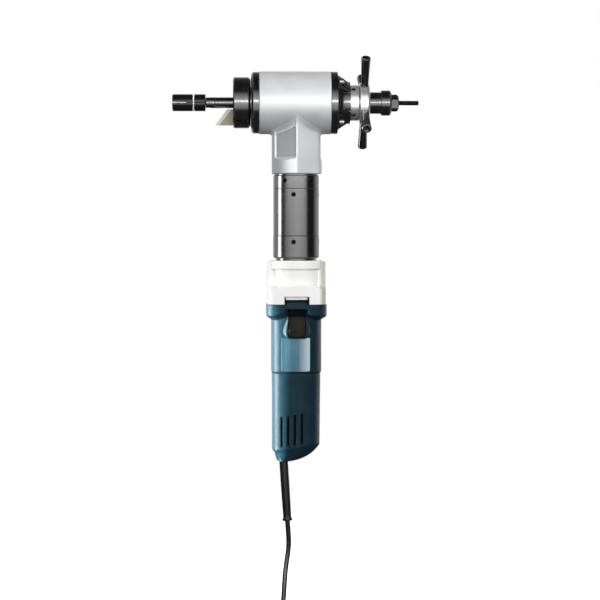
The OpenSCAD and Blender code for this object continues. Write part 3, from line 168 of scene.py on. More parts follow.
class BevelerStage(bpy.types.PropertyGroup):
    """Where the camera stands and how strong the lamps are"""

    azimuth: angle_property("Azimuth", "Camera's turn round the object", -1.8)
    elevation: angle_property("Elevation", "Camera's height angle", 2.2)
    distance: length_property("Distance", "Camera to object", 2.6)
    lens: FloatProperty(name="Lens", description="Focal length in millimetres", default=120.0)
    front: power_property("Front lamp", "Power of the graded front softbox", 84.0)
    wide: power_property("Right lamp", "Power of the right softbox", 20.0)
    low: power_property("Low lamp", "Power of the softbox in front of the motor", 16.0)
    strip: power_property("Strip lamp", "Power of the thin front strip", 9.0)
    left: power_property("Left lamp", "Power of the left strip", 20.0)
    edge: power_property("Edge lamp", "Power of the strip behind the left edge", 24.0)
    fill: power_property("Left fill", "Power of the soft left lamp", 150.0)
    top: power_property("Top lamp", "Power of the overhead softbox", 11.0)
    back: power_property("Back lamp", "Power of the softbox behind the head", 24.0)


# Surfaces


def ease(x):
    """Smooth step from 0 to 1: 3x squared less 2x cubed, with x held between 0 and 1."""
    x = np.clip(x, 0.0, 1.0)
    return x * x * (3 - 2 * x)


def around(count):
    """Angles of one turn in equal steps, as a row."""
    return np.linspace(0, TURN, count, endpoint=False)[None, :]


def points_at(x, y, z):
    """Points from three grids of coordinates, each stretched to the shape that they share."""
    return np.stack(np.broadcast_arrays(x, y, z), axis=-1)


def upright_rings(turn, radius, z):
    """Rings round the motor's axis from the radius and the height at each angle."""
    return points_at(HEAD_X + radius * np.cos(turn), radius * np.sin(turn), z)


def level_rings(x, turn, radius):
    """Rings round the mandrel's axis from the place along it and the radius at each angle."""
    return points_at(x, radius * np.cos(turn), radius * np.sin(turn))


def loft(rings, tube=False):
    """Points and faces through a stack of rings of equal count, first ring lowest and each counter-clockwise
    seen from the last one. A tube joins its last ring to its first; otherwise both ends close on their
    middles."""
    rows, cols, _ = rings.shape
    points = rings.reshape(-1, 3)
    row = np.arange(rows if tube else rows - 1)[:, None]
    col = np.arange(cols)[None, :]
    beside, above = (col + 1) % cols, (row + 1) % rows
    corners = [row * cols + col, row * cols + beside, above * cols + beside, above * cols + col]
    faces = np.stack(corners, axis=-1).reshape(-1, 4).tolist()
    if not tube:
        here = np.arange(cols)
        there, last, pole = (here + 1) % cols, (rows - 1) * cols, len(points)
        points = np.vstack([points, rings[0].mean(0), rings[-1].mean(0)])
        faces += np.stack([there, here, np.full(cols, pole)], axis=-1).tolist()
        faces += np.stack([last + here, last + there, np.full(cols, pole + 1)], axis=-1).tolist()
    return points, faces


def eased_profile(corners, rounding, steps=5):
    """Profile whose inner corners are replaced by quadratic arcs that start and end a rounding away, or just
    short of halfway along a shorter side."""
    longest = 0.45
    corners = np.asarray(corners, float)
    before, here, after = corners[:-2], corners[1:-1], corners[2:]
    rounding = np.broadcast_to(np.asarray(rounding, float), len(here))[:, None]
    back, ahead = before - here, after - here
    back_len = np.linalg.norm(back, axis=1, keepdims=True)
    ahead_len = np.linalg.norm(ahead, axis=1, keepdims=True)
    a = here + back / back_len * np.minimum(rounding, back_len * longest)
    b = here + ahead / ahead_len * np.minimum(rounding, ahead_len * longest)
    t = np.linspace(0, 1, steps)[None, :, None]
    arcs = (1 - t) ** 2 * a[:, None] + 2 * t * (1 - t) * here[:, None] + t**2 * b[:, None]
    return np.vstack([corners[:1], arcs.reshape(-1, 2), corners[-1:]])


def turned(profile, origin, axis, sides):
    """Rings of a lathe surface: each profile row (way along the axis, radius) swept round an axis that lies
    square to Y."""
    axis = np.asarray(axis, float) / np.linalg.norm(axis)
    across = np.cross((0.0, 1.0, 0.0), axis)
    across /= np.linalg.norm(across)
    up = np.cross(axis, across)
    turn = around(sides).T
    wheel = np.cos(turn) * across + np.sin(turn) * up
    profile = np.asarray(profile, float)
    return np.asarray(origin, float) + profile[:, :1, None] * axis + profile[:, 1:, None] * wheel[None]


def headings(path):
    """Direction of a path at each of its points."""
    ahead = np.gradient(path, axis=0)
    return ahead / np.linalg.norm(ahead, axis=1, keepdims=True)


def carried(path, radius, first, second, sides):
    """Rings of a round tube: a circle of the radius at each point of a path, in the plane of two vectors."""
    turn = around(sides)[..., None]
    return path[:, None] + radius * (np.cos(turn) * first[:, None] + np.sin(turn) * second[:, None])


def swept(path, radius, start_up, end_up, sides=14):
    """Rings of a round tube along a path: at each point two directions across the path carry a circle of the
    radius. They are taken from an up direction that turns from start_up to end_up in the first twelfth."""
    turning = 12
    ahead = headings(path)
    share = ease(np.linspace(0, 1, len(path)) * turning)[:, None]
    up = np.asarray(start_up, float) * (1 - share) + np.asarray(end_up, float) * share
    across = np.cross(up, ahead)
    across /= np.linalg.norm(across, axis=1, keepdims=True)
    return carried(path, radius, across, np.cross(ahead, across), sides)


def rounded_square(turn, half, corner):
    """Distance from the middle to a square of a half side with rounded corners: the flat side divided by the
    larger of cosine and sine, or the far crossing with the corner circle."""
    c, s = np.abs(np.cos(turn)), np.abs(np.sin(turn))
    flat = half / np.maximum(c, s)
    inner = half - corner
    along = inner * (c + s)
    arc = along + np.sqrt(np.maximum(along**2 - 2 * inner**2 + corner**2, 0))
    return np.where(np.minimum(c, s) * flat <= inner, flat, arc)


def box_outline(turn, wide, tall, corner):
    """Offsets of a rounded rectangle round its middle, stretched from a rounded square of unit half side."""
    unit = rounded_square(turn, 1.0, corner)
    return wide * unit * np.cos(turn), tall * unit * np.sin(turn)


def smooth_path(points, each):
    """Cardinal spline through the points: cubic pieces whose slope at a point is half the step between its
    two neighbours."""
    p = np.asarray(points, float)
    ends = np.vstack([2 * p[0] - p[1], p, 2 * p[-1] - p[-2]])
    a, b, c, d = ends[:-3, None], ends[1:-2, None], ends[2:-1, None], ends[3:, None]
    t = np.linspace(0, 1, each, endpoint=False)[None, :, None]
    curve = b + 0.5 * t * (c - a + t * (2 * a - 5 * b + 4 * c - d + t * (3 * (b - c) + d - a)))
    return np.vstack([curve.reshape(-1, 3), p[-1:]])


# Pieces


def put(name, data):
    """A new object of the scene for a mesh, lamp or camera."""
    thing = bpy.data.objects.new(name, data)
    bpy.context.scene.collection.objects.link(thing)
    return thing


# Finishes of the motor, which the lamps for the head leave out
SHELL_FINISHES = ("shell_blue", "slot_dark", "plate_film", "moulded_black")


def light(thing, finish):
    """Puts a piece among those that the lamps for its finish shine on."""
    bpy.data.collections["shell_lit" if finish in SHELL_FINISHES else "head_lit"].objects.link(thing)


def make_piece(name, shape, finish, body, replaces=(), crease=None, marks=None):
    """Puts points and faces into a mesh object at the origin that rides on a body of the frame. Marks say
    which of several finishes each face has."""
    points, faces = shape
    mesh = bpy.data.meshes.new(name)
    mesh.from_pydata(points.tolist(), [], faces)
    finishes = finish if isinstance(finish, tuple) else (finish,)
    for each in finishes:
        mesh.materials.append(bpy.data.materials[each])
    mesh.polygons.foreach_set("use_smooth", np.ones(len(faces), bool))
    if marks is not None:
        mesh.polygons.foreach_set("material_index", np.resize(marks, len(faces)).astype(np.int32))
    if crease:
        mesh.set_sharp_from_angle(angle=math.radians(crease))
    mesh.update()
    piece = put(name, mesh)
    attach(piece, body)
    if replaces:
        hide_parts(*replaces)
    light(piece, finishes[0])
    return piece


# Shader nodes

FLOAT, VECTOR = "NodeSocketFloat", "NodeSocketVector"


def feed(tree, socket, value):
    """Gives a socket a value, or links it to the output of another node."""
    if isinstance(value, bpy.types.NodeSocket):
        tree.links.new(value, socket)
    else:
        socket.default_value = value


def feed_all(tree, node, inputs):
    """Feeds several inputs of a node, each by its name or number."""
    for key, value in inputs.items():
        feed(tree, node.inputs[key], value)


def add(tree, kind, inputs=None, **settings):
    """A node with its settings, and with its inputs fed."""
    made = tree.nodes.new(kind)
    for name, value in settings.items():
        setattr(made, name, value)
    feed_all(tree, made, inputs or {})
    return made


def reckon(tree, operation, first, second, kind="ShaderNodeMath"):
    """Result of a Math or Vector Math node on two values."""
    return add(tree, kind, {0: first, 1: second}, operation=operation).outputs


def times(tree, first, second):
    """Product of two values."""
    return reckon(tree, "MULTIPLY", first, second)[0]


def spread(tree, value, low, high, to_low, to_high):
    """A value stretched from one range to another and held inside it."""
    ranges = {"Value": value, "From Min": low, "From Max": high, "To Min": to_low, "To Max": to_high}
    return add(tree, "ShaderNodeMapRange", ranges, clamp=True).outputs["Result"]


def mixed(tree, factor, first, second):
    """Colour between two colours, each three numbers or the output of a node."""
    first, second = (c if isinstance(c, bpy.types.NodeSocket) else (*c, 1) for c in (first, second))
    inputs = {"Factor": factor, "A": first, "B": second}
    return add(tree, "ShaderNodeMix", inputs, data_type="RGBA").outputs["Result"]


def axis_part(tree, kind, output, axis):
    """One axis of the place or direction that a node of a kind gives."""
    source = add(tree, kind).outputs[output]
    return add(tree, "ShaderNodeSeparateXYZ", {0: source}).outputs[axis]


def camera_mix(tree, seen, other):
    """One shader to the camera and another to everything else."""
    is_camera = add(tree, "ShaderNodeLightPath").outputs["Is Camera Ray"]
    return add(tree, "ShaderNodeMixShader", {"Fac": is_camera, 1: other, 2: seen}).outputs[0]


def make_group(name, inputs, outputs):
    """An empty shader node group with named sockets, what it is given and what it has to make."""
    group = bpy.data.node_groups.new(name, "ShaderNodeTree")
    for label, kind, value in inputs:
        group.interface.new_socket(label, in_out="INPUT", socket_type=kind).default_value = value
    for label, kind in outputs:
        group.interface.new_socket(label, in_out="OUTPUT", socket_type=kind)
    return group, group.nodes.new("NodeGroupInput").outputs, group.nodes.new("NodeGroupOutput").inputs


def group_edge_wear():
    """Edge wear: how far a rounded normal leans from the true one, broken up by noise."""
    group, given, made = make_group(
        "edge_wear", [("Width", FLOAT, 0.0006), ("Amount", FLOAT, 0.5)], [("Mask", FLOAT), ("Normal", VECTOR)]
    )
    rounded = add(group, "ShaderNodeBevel", {"Radius": given["Width"]}, samples=4).outputs[0]
    true = add(group, "ShaderNodeNewGeometry").outputs["Normal"]
    lean = reckon(group, "DOT_PRODUCT", rounded, true, "ShaderNodeVectorMath")["Value"]
    edge = spread(group, lean, 0.995, 0.80, 0.0, 1.0)
    place = add(group, "ShaderNodeTexCoord").outputs["Object"]
    noise = add(group, "ShaderNodeTexNoise", {"Scale": 190, "Detail": 3, "Vector": place}).outputs["Fac"]
    patch = spread(group, noise, 0.38, 0.66, 0.0, 1.0)
    feed(group, made["Mask"], times(group, times(group, edge, patch), given["Amount"]))
    feed(group, made["Normal"], rounded)


def group_cast_grain():
    """Grain of a cast, moulded or painted skin: fine noise for height and broad noise for tone."""
    group, given, made = make_group(
        "cast_grain", [("Scale", FLOAT, 900.0)], [("Height", FLOAT), ("Tone", FLOAT)]
    )
    place = add(group, "ShaderNodeTexCoord").outputs["Object"]
    for label, share, detail in (("Height", 1.0, 4.0), ("Tone", 0.03, 5.0)):
        inputs = {"Detail": detail, "Vector": place, "Scale": times(group, given["Scale"], share)}
        feed(group, made[label], add(group, "ShaderNodeTexNoise", inputs).outputs["Fac"])


def group_turning_marks():
    """Marks of the lathe: noise along the axis and out from it, the same all the way round."""
    group, given, made = make_group(
        "turning_marks",
        [("Scale", FLOAT, 2500.0), ("Axis", VECTOR, (1, 0, 0)), ("Centre", VECTOR, (0, 0, 0))],
        [("Height", FLOAT), ("Tone", FLOAT)],
    )
    vector = "ShaderNodeVectorMath"
    place = add(group, "ShaderNodeTexCoord").outputs["Object"]
    moved = reckon(group, "SUBTRACT", place, given["Centre"], vector)[0]
    along = reckon(group, "DOT_PRODUCT", moved, given["Axis"], vector)["Value"]
    out = reckon(group, "CROSS_PRODUCT", moved, given["Axis"], vector)[0]
    radius = add(group, vector, {0: out}, operation="LENGTH").outputs["Value"]
    way = reckon(group, "ADD", along, radius)[0]
    for label, share, detail in (("Height", 1.0, 2.0), ("Tone", 0.12, 4.0)):
        scaled = times(group, way, times(group, given["Scale"], share))
        inputs = {"Scale": 1.0, "Detail": detail, "W": scaled}
        noise = add(group, "ShaderNodeTexNoise", inputs, noise_dimensions="1D").outputs["Fac"]
        feed(group, made[label], noise)


# Finishes


def shade(colour, factor):
    """A colour made lighter or darker."""
    return tuple(min(1.0, part * factor) for part in colour)


def make_finish(
    name, colour, rough, metal=0.0, skin="cast_grain", scale=900.0, bump=0.02, edge=0.5, width=0.5,
    worn=None, tint=0.85, axis=None, centre=(0, 0, 0), specular=0.5, ior=1.5, coat=0.0, soften=True,
):
    """A material: base colour mottled by the skin's tone and worn along edges, roughness that follows the
    tone, and a bump of the skin's height over softened edges."""
    material = bpy.data.materials.new(name)
    material.use_nodes = True
    tree, groups = material.node_tree, bpy.data.node_groups
    lay = {"Axis": axis, "Centre": centre} if axis else {}
    surface = add(tree, "ShaderNodeGroup", {"Scale": scale, **lay}, node_tree=groups[skin]).outputs
    edges = {"Width": width * MM, "Amount": edge}
    wear = add(tree, "ShaderNodeGroup", edges, node_tree=groups["edge_wear"]).outputs
    tone = spread(tree, surface["Tone"], 0.3, 0.7, 0.0, 1.0)
    mottle = mixed(tree, tone, shade(colour, tint), shade(colour, 2 - tint))
    relief = {"Strength": 0.35, "Distance": bump * MM, "Height": surface["Height"]}
    if soften:
        relief["Normal"] = wear["Normal"]
    settings = {
        "Base Color": mixed(tree, wear["Mask"], mottle, worn or shade(colour, 1.5)),
        "Metallic": metal,
        "Roughness": spread(tree, surface["Tone"], 0.3, 0.7, rough * 0.86, rough * 1.14),
        "Specular IOR Level": specular,
        "IOR": ior,
        "Coat Weight": coat,
        "Coat Roughness": 0.12,
        "Normal": add(tree, "ShaderNodeBump", relief).outputs["Normal"],
    }
    feed_all(tree, tree.nodes["Principled BSDF"], settings)
    return material


def paint_light_over(material, source, start, end, colour):
    """Paints light or shade into a material: a second colour laid over its base colour, growing as X of a
    source goes from start to end.
    """
    tree = material.node_tree
    base = tree.nodes["Principled BSDF"].inputs["Base Color"]
    mask = spread(tree, axis_part(tree, *source, "X"), start, end, 0.0, 1.0)
    feed(tree, base, mixed(tree, mask, base.links[0].from_socket, colour))


PLACE = ("ShaderNodeTexCoord", "Object")
FACING = ("ShaderNodeNewGeometry", "True Normal")
UPRIGHT = {"axis": (0, 0, 1), "centre": (HEAD_X, 0, 0)}
LEVEL = {"axis": (1, 0, 0)}
TURNED = {"skin": "turning_marks", "scale": 2200.0, "bump": 0.0006}
STEEL = (0.30, 0.30, 0.31)
GLOSSY = {"worn": STEEL, "edge": 0.5, "specular": 0.68, "ior": 1.8, "tint": 0.7, "soften": False}
FINE = {"scale": 700.0, "bump": 0.001}

NODE_FINISH = {
    "black_level": ("mandrel_shaft", "stop_collar", "draw_nut", "cutter_head", "front_ring", "rear_cover"),
    "black_upright": ("ring_gear_barrel", "coupling_flange", "input_flange"),
    "black_plain": ("expander_wedge", "draw_bar"),
    "black_jaw": ("jaw_1", "jaw_2", "jaw_3"),
    "black_spoke": ("handle_spokes",),
    "black_screw": ("tool_screws", "barrel_screws"),
    "spring_bright": ("jaw_spring",),
    "silver_satin": ("main_housing",),
    "bright_level": ("retaining_collar", "feed_hub", "spindle", "bevel_gear", "spindle_bearings"),
    "bright_upright": (
        "pinion_bearings", "bevel_pinion", "carrier_1", "carrier_2", "planet_1a", "planet_1b", "planet_1c",
        "planet_2a", "planet_2b", "planet_2c", "rotor_shaft", "motor_bearings", "gear_case_screws",
    ),
    "bright_plain": ("brush_springs",),
    "ground_tool": ("bevel_tool",),
    "oiled_bronze": ("guide_bush", "feed_nut", "thrust_washers"),
    "grey_steel": ("rotor_core", "stator_core", "rear_cover_screws"),
    "white_enamel": ("gear_case",),
    "shell_blue": ("motor_housing", "rear_housing"),
    "copper_wire": ("field_coils", "commutator"),
    "sheet_brass": ("brush_holders",),
    "brush_carbon": ("carbon_brushes",),
    "moulded_black": ("switch_box", "switch_slider", "fan", "coil_tie"),
    "lead_rubber": ("cable_boot", "cord_lead", "cord_coil", "plug"),
}


class BEVELER_OT_finishes(bpy.types.Operator):
    """Make every finish and give each solid of the frame its own"""

    bl_idname = "beveler.finishes"
    bl_label = "Finishes"

    def execute(self, context):
        colours = context.scene.beveler_colours
        group_edge_wear()
        group_cast_grain()
        group_turning_marks()
        self.make_blacks(tuple(colours.black))
        self.make_bright(tuple(colours.bright), tuple(colours.silver))
        self.make_coated(colours)
        for finish, nodes in NODE_FINISH.items():
            for node in nodes:
                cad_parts[node].data.materials[0] = bpy.data.materials[finish]
        missing = set(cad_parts) - {node for nodes in NODE_FINISH.values() for node in nodes}
        if missing:
            raise RuntimeError(f"no finish for {sorted(missing)}")
        return {"FINISHED"}

    def make_blacks(self, black):
        """Blackened steel: glossy where it is turned or ground, dull on screws; the dull black also paints
        shade inside the collar's spanner holes.
        """
        make_finish("black_level", black, 0.19, **GLOSSY, **TURNED, **LEVEL)
        make_finish("black_upright", black, 0.19, **GLOSSY, **TURNED, **UPRIGHT)
        make_finish("black_plain", black, 0.17, **GLOSSY, **FINE)
        make_finish("black_jaw", black, 0.17, **{**GLOSSY, "specular": 0.3}, **FINE)
        # Spokes: a lighter worn colour laid on more strongly, partly wear and partly a painted highlight on
        # their edges and the rims of their ends.
        spoke = {**GLOSSY, "worn": (0.5, 0.5, 0.5), "edge": 0.9}
        make_finish("black_spoke", black, 0.14, **spoke, width=0.7, **FINE)
        make_finish("black_screw", shade(black, 0.4), 0.5, worn=STEEL, edge=0.3, specular=0.05, tint=0.7,
                    scale=700.0, bump=0.004)

    def make_bright(self, bright, silver):
        """Bare metals: castings, bright and ground steel, bronze, copper and brass."""
        make_finish("silver_satin", silver, 0.46, metal=0.4, scale=1500.0, bump=0.01, tint=0.96)
        # Sunk panels of the stem: the casting's silver at six tenths, rougher and with a coarser grain.
        make_finish("silver_cast", shade(silver, 0.6), 0.6, metal=0.3, scale=1500.0, bump=0.03, tint=0.92)
        make_finish("bright_level", shade(bright, 0.92), 0.32, metal=0.88, tint=0.93, **TURNED, **LEVEL)
        make_finish("bright_upright", shade(bright, 0.8), 0.28, metal=1.0, tint=0.9, **TURNED, **UPRIGHT)
        make_finish("bright_plain", shade(bright, 0.9), 0.25, metal=1.0, tint=0.9, scale=1100.0, bump=0.01)
        # Painted sheen: the steel spring is a pale, mostly diffuse grey, so it reads light all round.
        make_finish("spring_bright", (0.80, 0.80, 0.80), 0.4, metal=0.2, scale=1100.0, bump=0.004)
        tool = make_finish("ground_tool", (0.14, 0.13, 0.10), 0.46, metal=0.4, tint=0.75,
                           skin="turning_marks", scale=3200.0, bump=0.008, axis=(1, 0, 0.05))
        # Painted highlight: faces of the tool that turn to the left are laid over with a light ivory.
        paint_light_over(tool, FACING, -0.02, -0.12, (0.42, 0.41, 0.35))
        # Bronze darkened almost to black as painted shade, for the bush and nut seen through the collar's
        # spanner holes.
        make_finish("oiled_bronze", (0.035, 0.026, 0.014), 0.5, tint=0.88, specular=0.3, **TURNED, **LEVEL)
        wound = {"metal": 1.0, "skin": "turning_marks", **UPRIGHT}
        make_finish("grey_steel", (0.30, 0.31, 0.33), 0.42, scale=5000.0, **wound)
        make_finish("copper_wire", (0.62, 0.27, 0.12), 0.32, scale=1400.0, **wound)
        make_finish("sheet_brass", (0.68, 0.50, 0.20), 0.28, metal=1.0, scale=900.0, bump=0.008)

    def make_coated(self, colours):
        """Enamel, plastics, rubber, carbon and the near black that paints shade."""
        enamel = make_finish("white_enamel", tuple(colours.white), 0.36, scale=650.0, bump=0.02, tint=0.985,
                             edge=0.25, width=0.9, worn=(0.62, 0.62, 0.6), coat=0.25)
        # Painted shade: the white gear case turns beige on its right-hand lug, from 29 to 33 mm right of the
        # middle.
        paint_light_over(enamel, PLACE, HEAD_X + 29 * MM, HEAD_X + 33 * MM, (0.52, 0.51, 0.45))
        make_finish("shell_blue", tuple(colours.blue), 0.36, scale=2600.0, bump=0.012, tint=0.88, edge=0.35,
                    width=0.8, worn=shade(colours.blue, 3.0))
        make_finish("brush_carbon", (0.03, 0.03, 0.03), 0.6, scale=1800.0, bump=0.02)
        make_finish("moulded_black", (0.020, 0.017, 0.014), 0.36, scale=2000.0, bump=0.02, edge=0.3,
                    worn=(0.06, 0.06, 0.06))
        make_finish("lead_rubber", tuple(colours.rubber), 0.27, scale=1300.0, bump=0.008, edge=0.15,
                    worn=(0.05, 0.05, 0.05))
        # Near black that paints shade: in the rear housing's air slots, on the switch track in its niche and
        # in the gear case's notch.
        make_finish("slot_dark", (0.004, 0.005, 0.006), 0.7, scale=800.0, edge=0.0)
        film = make_finish("plate_film", (0.075, 0.185, 0.245), 0.34, metal=0.2, scale=1600.0, bump=0.004,
                           edge=0.2)
        # Painted reflection: the plate turns pale silver towards its right side.
        paint_light_over(film, PLACE, HEAD_X + 2 * MM, HEAD_X + 17 * MM, (0.62, 0.74, 0.82))
        # Painted shade: the plate darkens towards its left edge.
        paint_light_over(film, PLACE, HEAD_X - 9 * MM, HEAD_X - 18 * MM, (0.025, 0.062, 0.082))


# Stage

PHOTO_MIDDLE = (0.1436, 0.0, -0.2554)
ROOM_LIGHT = 0.02
FLOOR_RADIUS, FLOOR_SIDES, FLOOR_GAP = 1.6, 128, 0.2 * MM

# Of each lamp: the property with its power, its width and height, its place, the point that it looks at, the
# pieces that it shines on, or none for all, and whether it is mirrored in them
LAMPS = {
    "front_softbox": ("front", 4.2, 2.4, (-0.27, -1.2, 0.05), (-0.27, 0, 0.05), "head_lit", True),
    "front_strip": ("strip", 2.4, 0.06, (0.10, -1.15, 0.08), (0.14, 0, 0.0), "head_lit", True),
    "right_softbox": ("wide", 1.2, 1.2, (0.9, -0.95, 0.95), (0.14, 0, -0.05), "head_lit", False),
    "low_softbox": ("low", 1.2, 1.0, (0.45, -1.15, 0.05), (0.14, 0, -0.35), "low_lit", False),
    "left_strip": ("left", 0.42, 1.3, (-1.25, 0.05, -0.36), (0.14, 0, -0.36), "side_lit", True),
    "edge_strip": ("edge", 0.35, 1.3, (-1.2, 0.25, -0.42), (0.14, 0, -0.42), "edge_lit", True),
    "left_fill": ("fill", 0.5, 0.6, (-1.0, 0.06, -0.40), (0.14, 0, -0.38), "shell_lit", False),
    "top_softbox": ("top", 1.4, 0.8, (0.1, -0.3, 1.3), (0.14, 0, -0.2), None, False),
    "back_softbox": ("back", 2.0, 1.2, (0.35, 1.5, 0.30), (0.14, 0, -0.05), "head_lit", False),
}
# Sets of pieces that lamps shine on, and the nodes that are named for each
LIT_NODES = {
    "head_lit": (),
    "shell_lit": (),
    "side_lit": (
        "ring_gear_barrel", "coupling_flange", "input_flange", "barrel_screws", "gear_case", "bevel_tool",
        "handle_spokes",
    ),
    "low_lit": ("gear_case",),
    "edge_lit": ("bevel_tool", "handle_spokes"),
}


def aim(thing, target):
    """Turns a lamp or camera to look at a point."""
    thing.rotation_euler = (Vector(target) - thing.location).to_track_quat("-Z", "Y").to_euler()


def softbox(name, power, width, height, place, target):
    """A rectangular area lamp that the camera itself doesn't see."""
    lamp = bpy.data.lights.new(name, "AREA")
    lamp.shape = "RECTANGLE"
    lamp.size, lamp.size_y, lamp.energy = width, height, power
    thing = put(name, lamp)
    thing.location = place
    thing.visible_camera = False
    aim(thing, target)
    return thing


def graded(lamp, across, up):
    """Makes a softbox brightest at a share of its width and height, fading from there to its edges."""
    lamp.use_nodes = True
    tree = lamp.node_tree
    fades = []
    for axis, peak, last in (("X", across, 0.15), ("Y", up, 0.0)):
        place = axis_part(tree, "ShaderNodeNewGeometry", "Parametric", axis)
        away = reckon(tree, "ABSOLUTE", reckon(tree, "SUBTRACT", place, peak)[0], 0.0)[0]
        fades.append(spread(tree, away, 0.0, max(peak, 1 - peak), 1.0, last))
    feed(tree, tree.nodes["Emission"].inputs["Strength"], times(tree, *fades))


def make_world():
    """White to the camera, and to everything else a dark room with a white wall behind."""
    world = bpy.data.worlds.new("studio_air")
    world.use_nodes = True
    tree = world.node_tree
    tree.nodes.clear()
    way = ("ShaderNodeTexCoord", "Generated")
    behind = spread(tree, axis_part(tree, *way, "Y"), 0.08, 0.5, 0.0, 0.9)
    low = spread(tree, axis_part(tree, *way, "Z"), 0.25, 0.75, 1.0, 0.1)
    wall = reckon(tree, "ADD", times(tree, behind, low), ROOM_LIGHT)[0]
    room = add(tree, "ShaderNodeBackground", {"Color": wall}).outputs[0]
    air = add(tree, "ShaderNodeBackground", {"Color": (1, 1, 1, 1)}).outputs[0]
    add(tree, "ShaderNodeOutputWorld", {"Surface": camera_mix(tree, air, room)})
    bpy.context.scene.world = world


def make_floor():
    """Round pale floor: a flat disc whose edge fades away into the white air. It throws little light back."""
    low = CAD_BOX[0][2] - FLOOR_GAP
    rim = upright_rings(around(FLOOR_SIDES), FLOOR_RADIUS, low)[0]
    mesh = bpy.data.meshes.new("studio_floor")
    mesh.from_pydata(rim.tolist(), [], [range(FLOOR_SIDES)])
    material = bpy.data.materials.new("pale_floor")
    material.use_nodes = True
    tree = material.node_tree
    place = add(tree, "ShaderNodeTexCoord").outputs["Object"]
    away = reckon(tree, "DISTANCE", place, (HEAD_X, 0, low), "ShaderNodeVectorMath")["Value"]
    pale = tree.nodes["Principled BSDF"]
    settings = {
        "Base Color": (0.93, 0.93, 0.93, 1),
        "Roughness": 0.6,
        "Emission Color": (1, 1, 1, 1),
        "Emission Strength": 0.8,
        "Alpha": spread(tree, away, 0.45, 1.5, 1.0, 0.0),
    }
    feed_all(tree, pale, settings)
    dull = add(tree, "ShaderNodeBsdfDiffuse", {"Color": (0.04, 0.04, 0.04, 1)}).outputs[0]
    feed(tree, tree.nodes["Material Output"].inputs["Surface"], camera_mix(tree, pale.outputs[0], dull))
    mesh.materials.append(material)
    floor = put("studio_floor", mesh)
    return floor


class BEVELER_OT_stage(bpy.types.Operator):
    """Pale floor, soft lamps and the camera at the photograph's angle"""

    bl_idname = "beveler.stage"
    bl_label = "Stage"

    def execute(self, context):
        stage = context.scene.beveler_stage
        make_world()
        self.sort_lit(make_floor())
        for name, (power, width, height, place, target, lit, mirrored) in LAMPS.items():
            lamp = softbox(name, getattr(stage, power), width, height, place, target)
            lamp.visible_glossy = mirrored
            if lit:
                lamp.light_linking.receiver_collection = bpy.data.collections[lit]
        graded(bpy.data.lights["front_softbox"], 0.62, 0.5)
        self.make_camera(context.scene, stage)
        context.scene.view_settings.view_transform = "Standard"
        return {"FINISHED"}

    def sort_lit(self, floor):
        """Collections of what each lamp shines on: named nodes, and all but the enamelled by their finish."""
        lit = {name: bpy.data.collections.new(name) for name in LIT_NODES}
        for name in ("low_lit", "edge_lit"):
            lit[name].children.link(lit["shell_lit"])
        for name, nodes in LIT_NODES.items():
            for node in nodes:
                lit[name].objects.link(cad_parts[node])
        for finish, nodes in NODE_FINISH.items():
            for node in nodes if finish != "white_enamel" else ():
                light(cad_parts[node], finish)
        lit["head_lit"].objects.link(floor)

    def make_camera(self, scene, stage):
        """Camera on a circle round the middle of the photograph."""
        lens = bpy.data.cameras.new("photo_camera")
        lens.lens, lens.sensor_width, lens.clip_start, lens.clip_end = stage.lens, 36.0, 0.01, 100.0
        camera = put("photo_camera", lens)
        away = math.cos(stage.elevation) * stage.distance
        x, y, z = PHOTO_MIDDLE
        camera.location = (
            x + away * math.sin(stage.azimuth),
            y - away * math.cos(stage.azimuth),
            z + stage.distance * math.sin(stage.elevation),
        )
        aim(camera, PHOTO_MIDDLE)
        scene.camera = camera


# Lead

BOOT_TILT = math.radians(3.65)
BOOT_LEN, BOOT_INSIDE = 80 * MM, 12 * MM
BOOT_TOP = np.array([HEAD_X - 16.4 * MM, 0, REAR_Z0])
BOOT_WAY = np.array([math.sin(BOOT_TILT), 0, -math.cos(BOOT_TILT)])
BOOT_END = BOOT_TOP + BOOT_LEN * BOOT_WAY
LEAD_START = np.array([-2 * math.sin(BOOT_TILT), 0, 1.8]) * MM
LEAD_DROP = np.array([0, 0, -0.5]) * MM
LEAD_ROUTE = np.array([
    [0, 0, 0], [1, 0, -14], [1.6, 0, -27], [0.8, -0.8, -40], [-1.4, -4, -54], [-3.2, -8.7, -68],
    [-4.4, -14, -81.4], [-5.4, -19.9, -94.6], [-6.8, -26.1, -107.5], [-9, -32.6, -120.5],
    [-12.4, -39.1, -132.8], [-17.4, -45.5, -144.4], [-24.6, -51.4, -154.8], [-34, -56.1, -162.6],
    [-46, -59.6, -168.2], [-59, -61.5, -171.6],
]) * MM
LAY_X, LAY_Y, LAY_RUN = BOOT_END[0] - 72 * MM, -62 * MM, np.array([5 * MM, 0, 0])
COIL_INNER, COIL_OUTER, COIL_PITCH = 28.5 * MM, 49.65 * MM, 7.05 * MM
COIL_LAYERS, COIL_TURNS, COIL_TOTAL, COIL_SHIFT = 4, 3, 11.5, 6.5 * MM
TAIL_GAP, TAIL_LEN, TAIL_STEPS = 4 * MM, 34 * MM, 8
PLUG_SEAT, PIN_SIDE = 4 * MM, 9.5 * MM


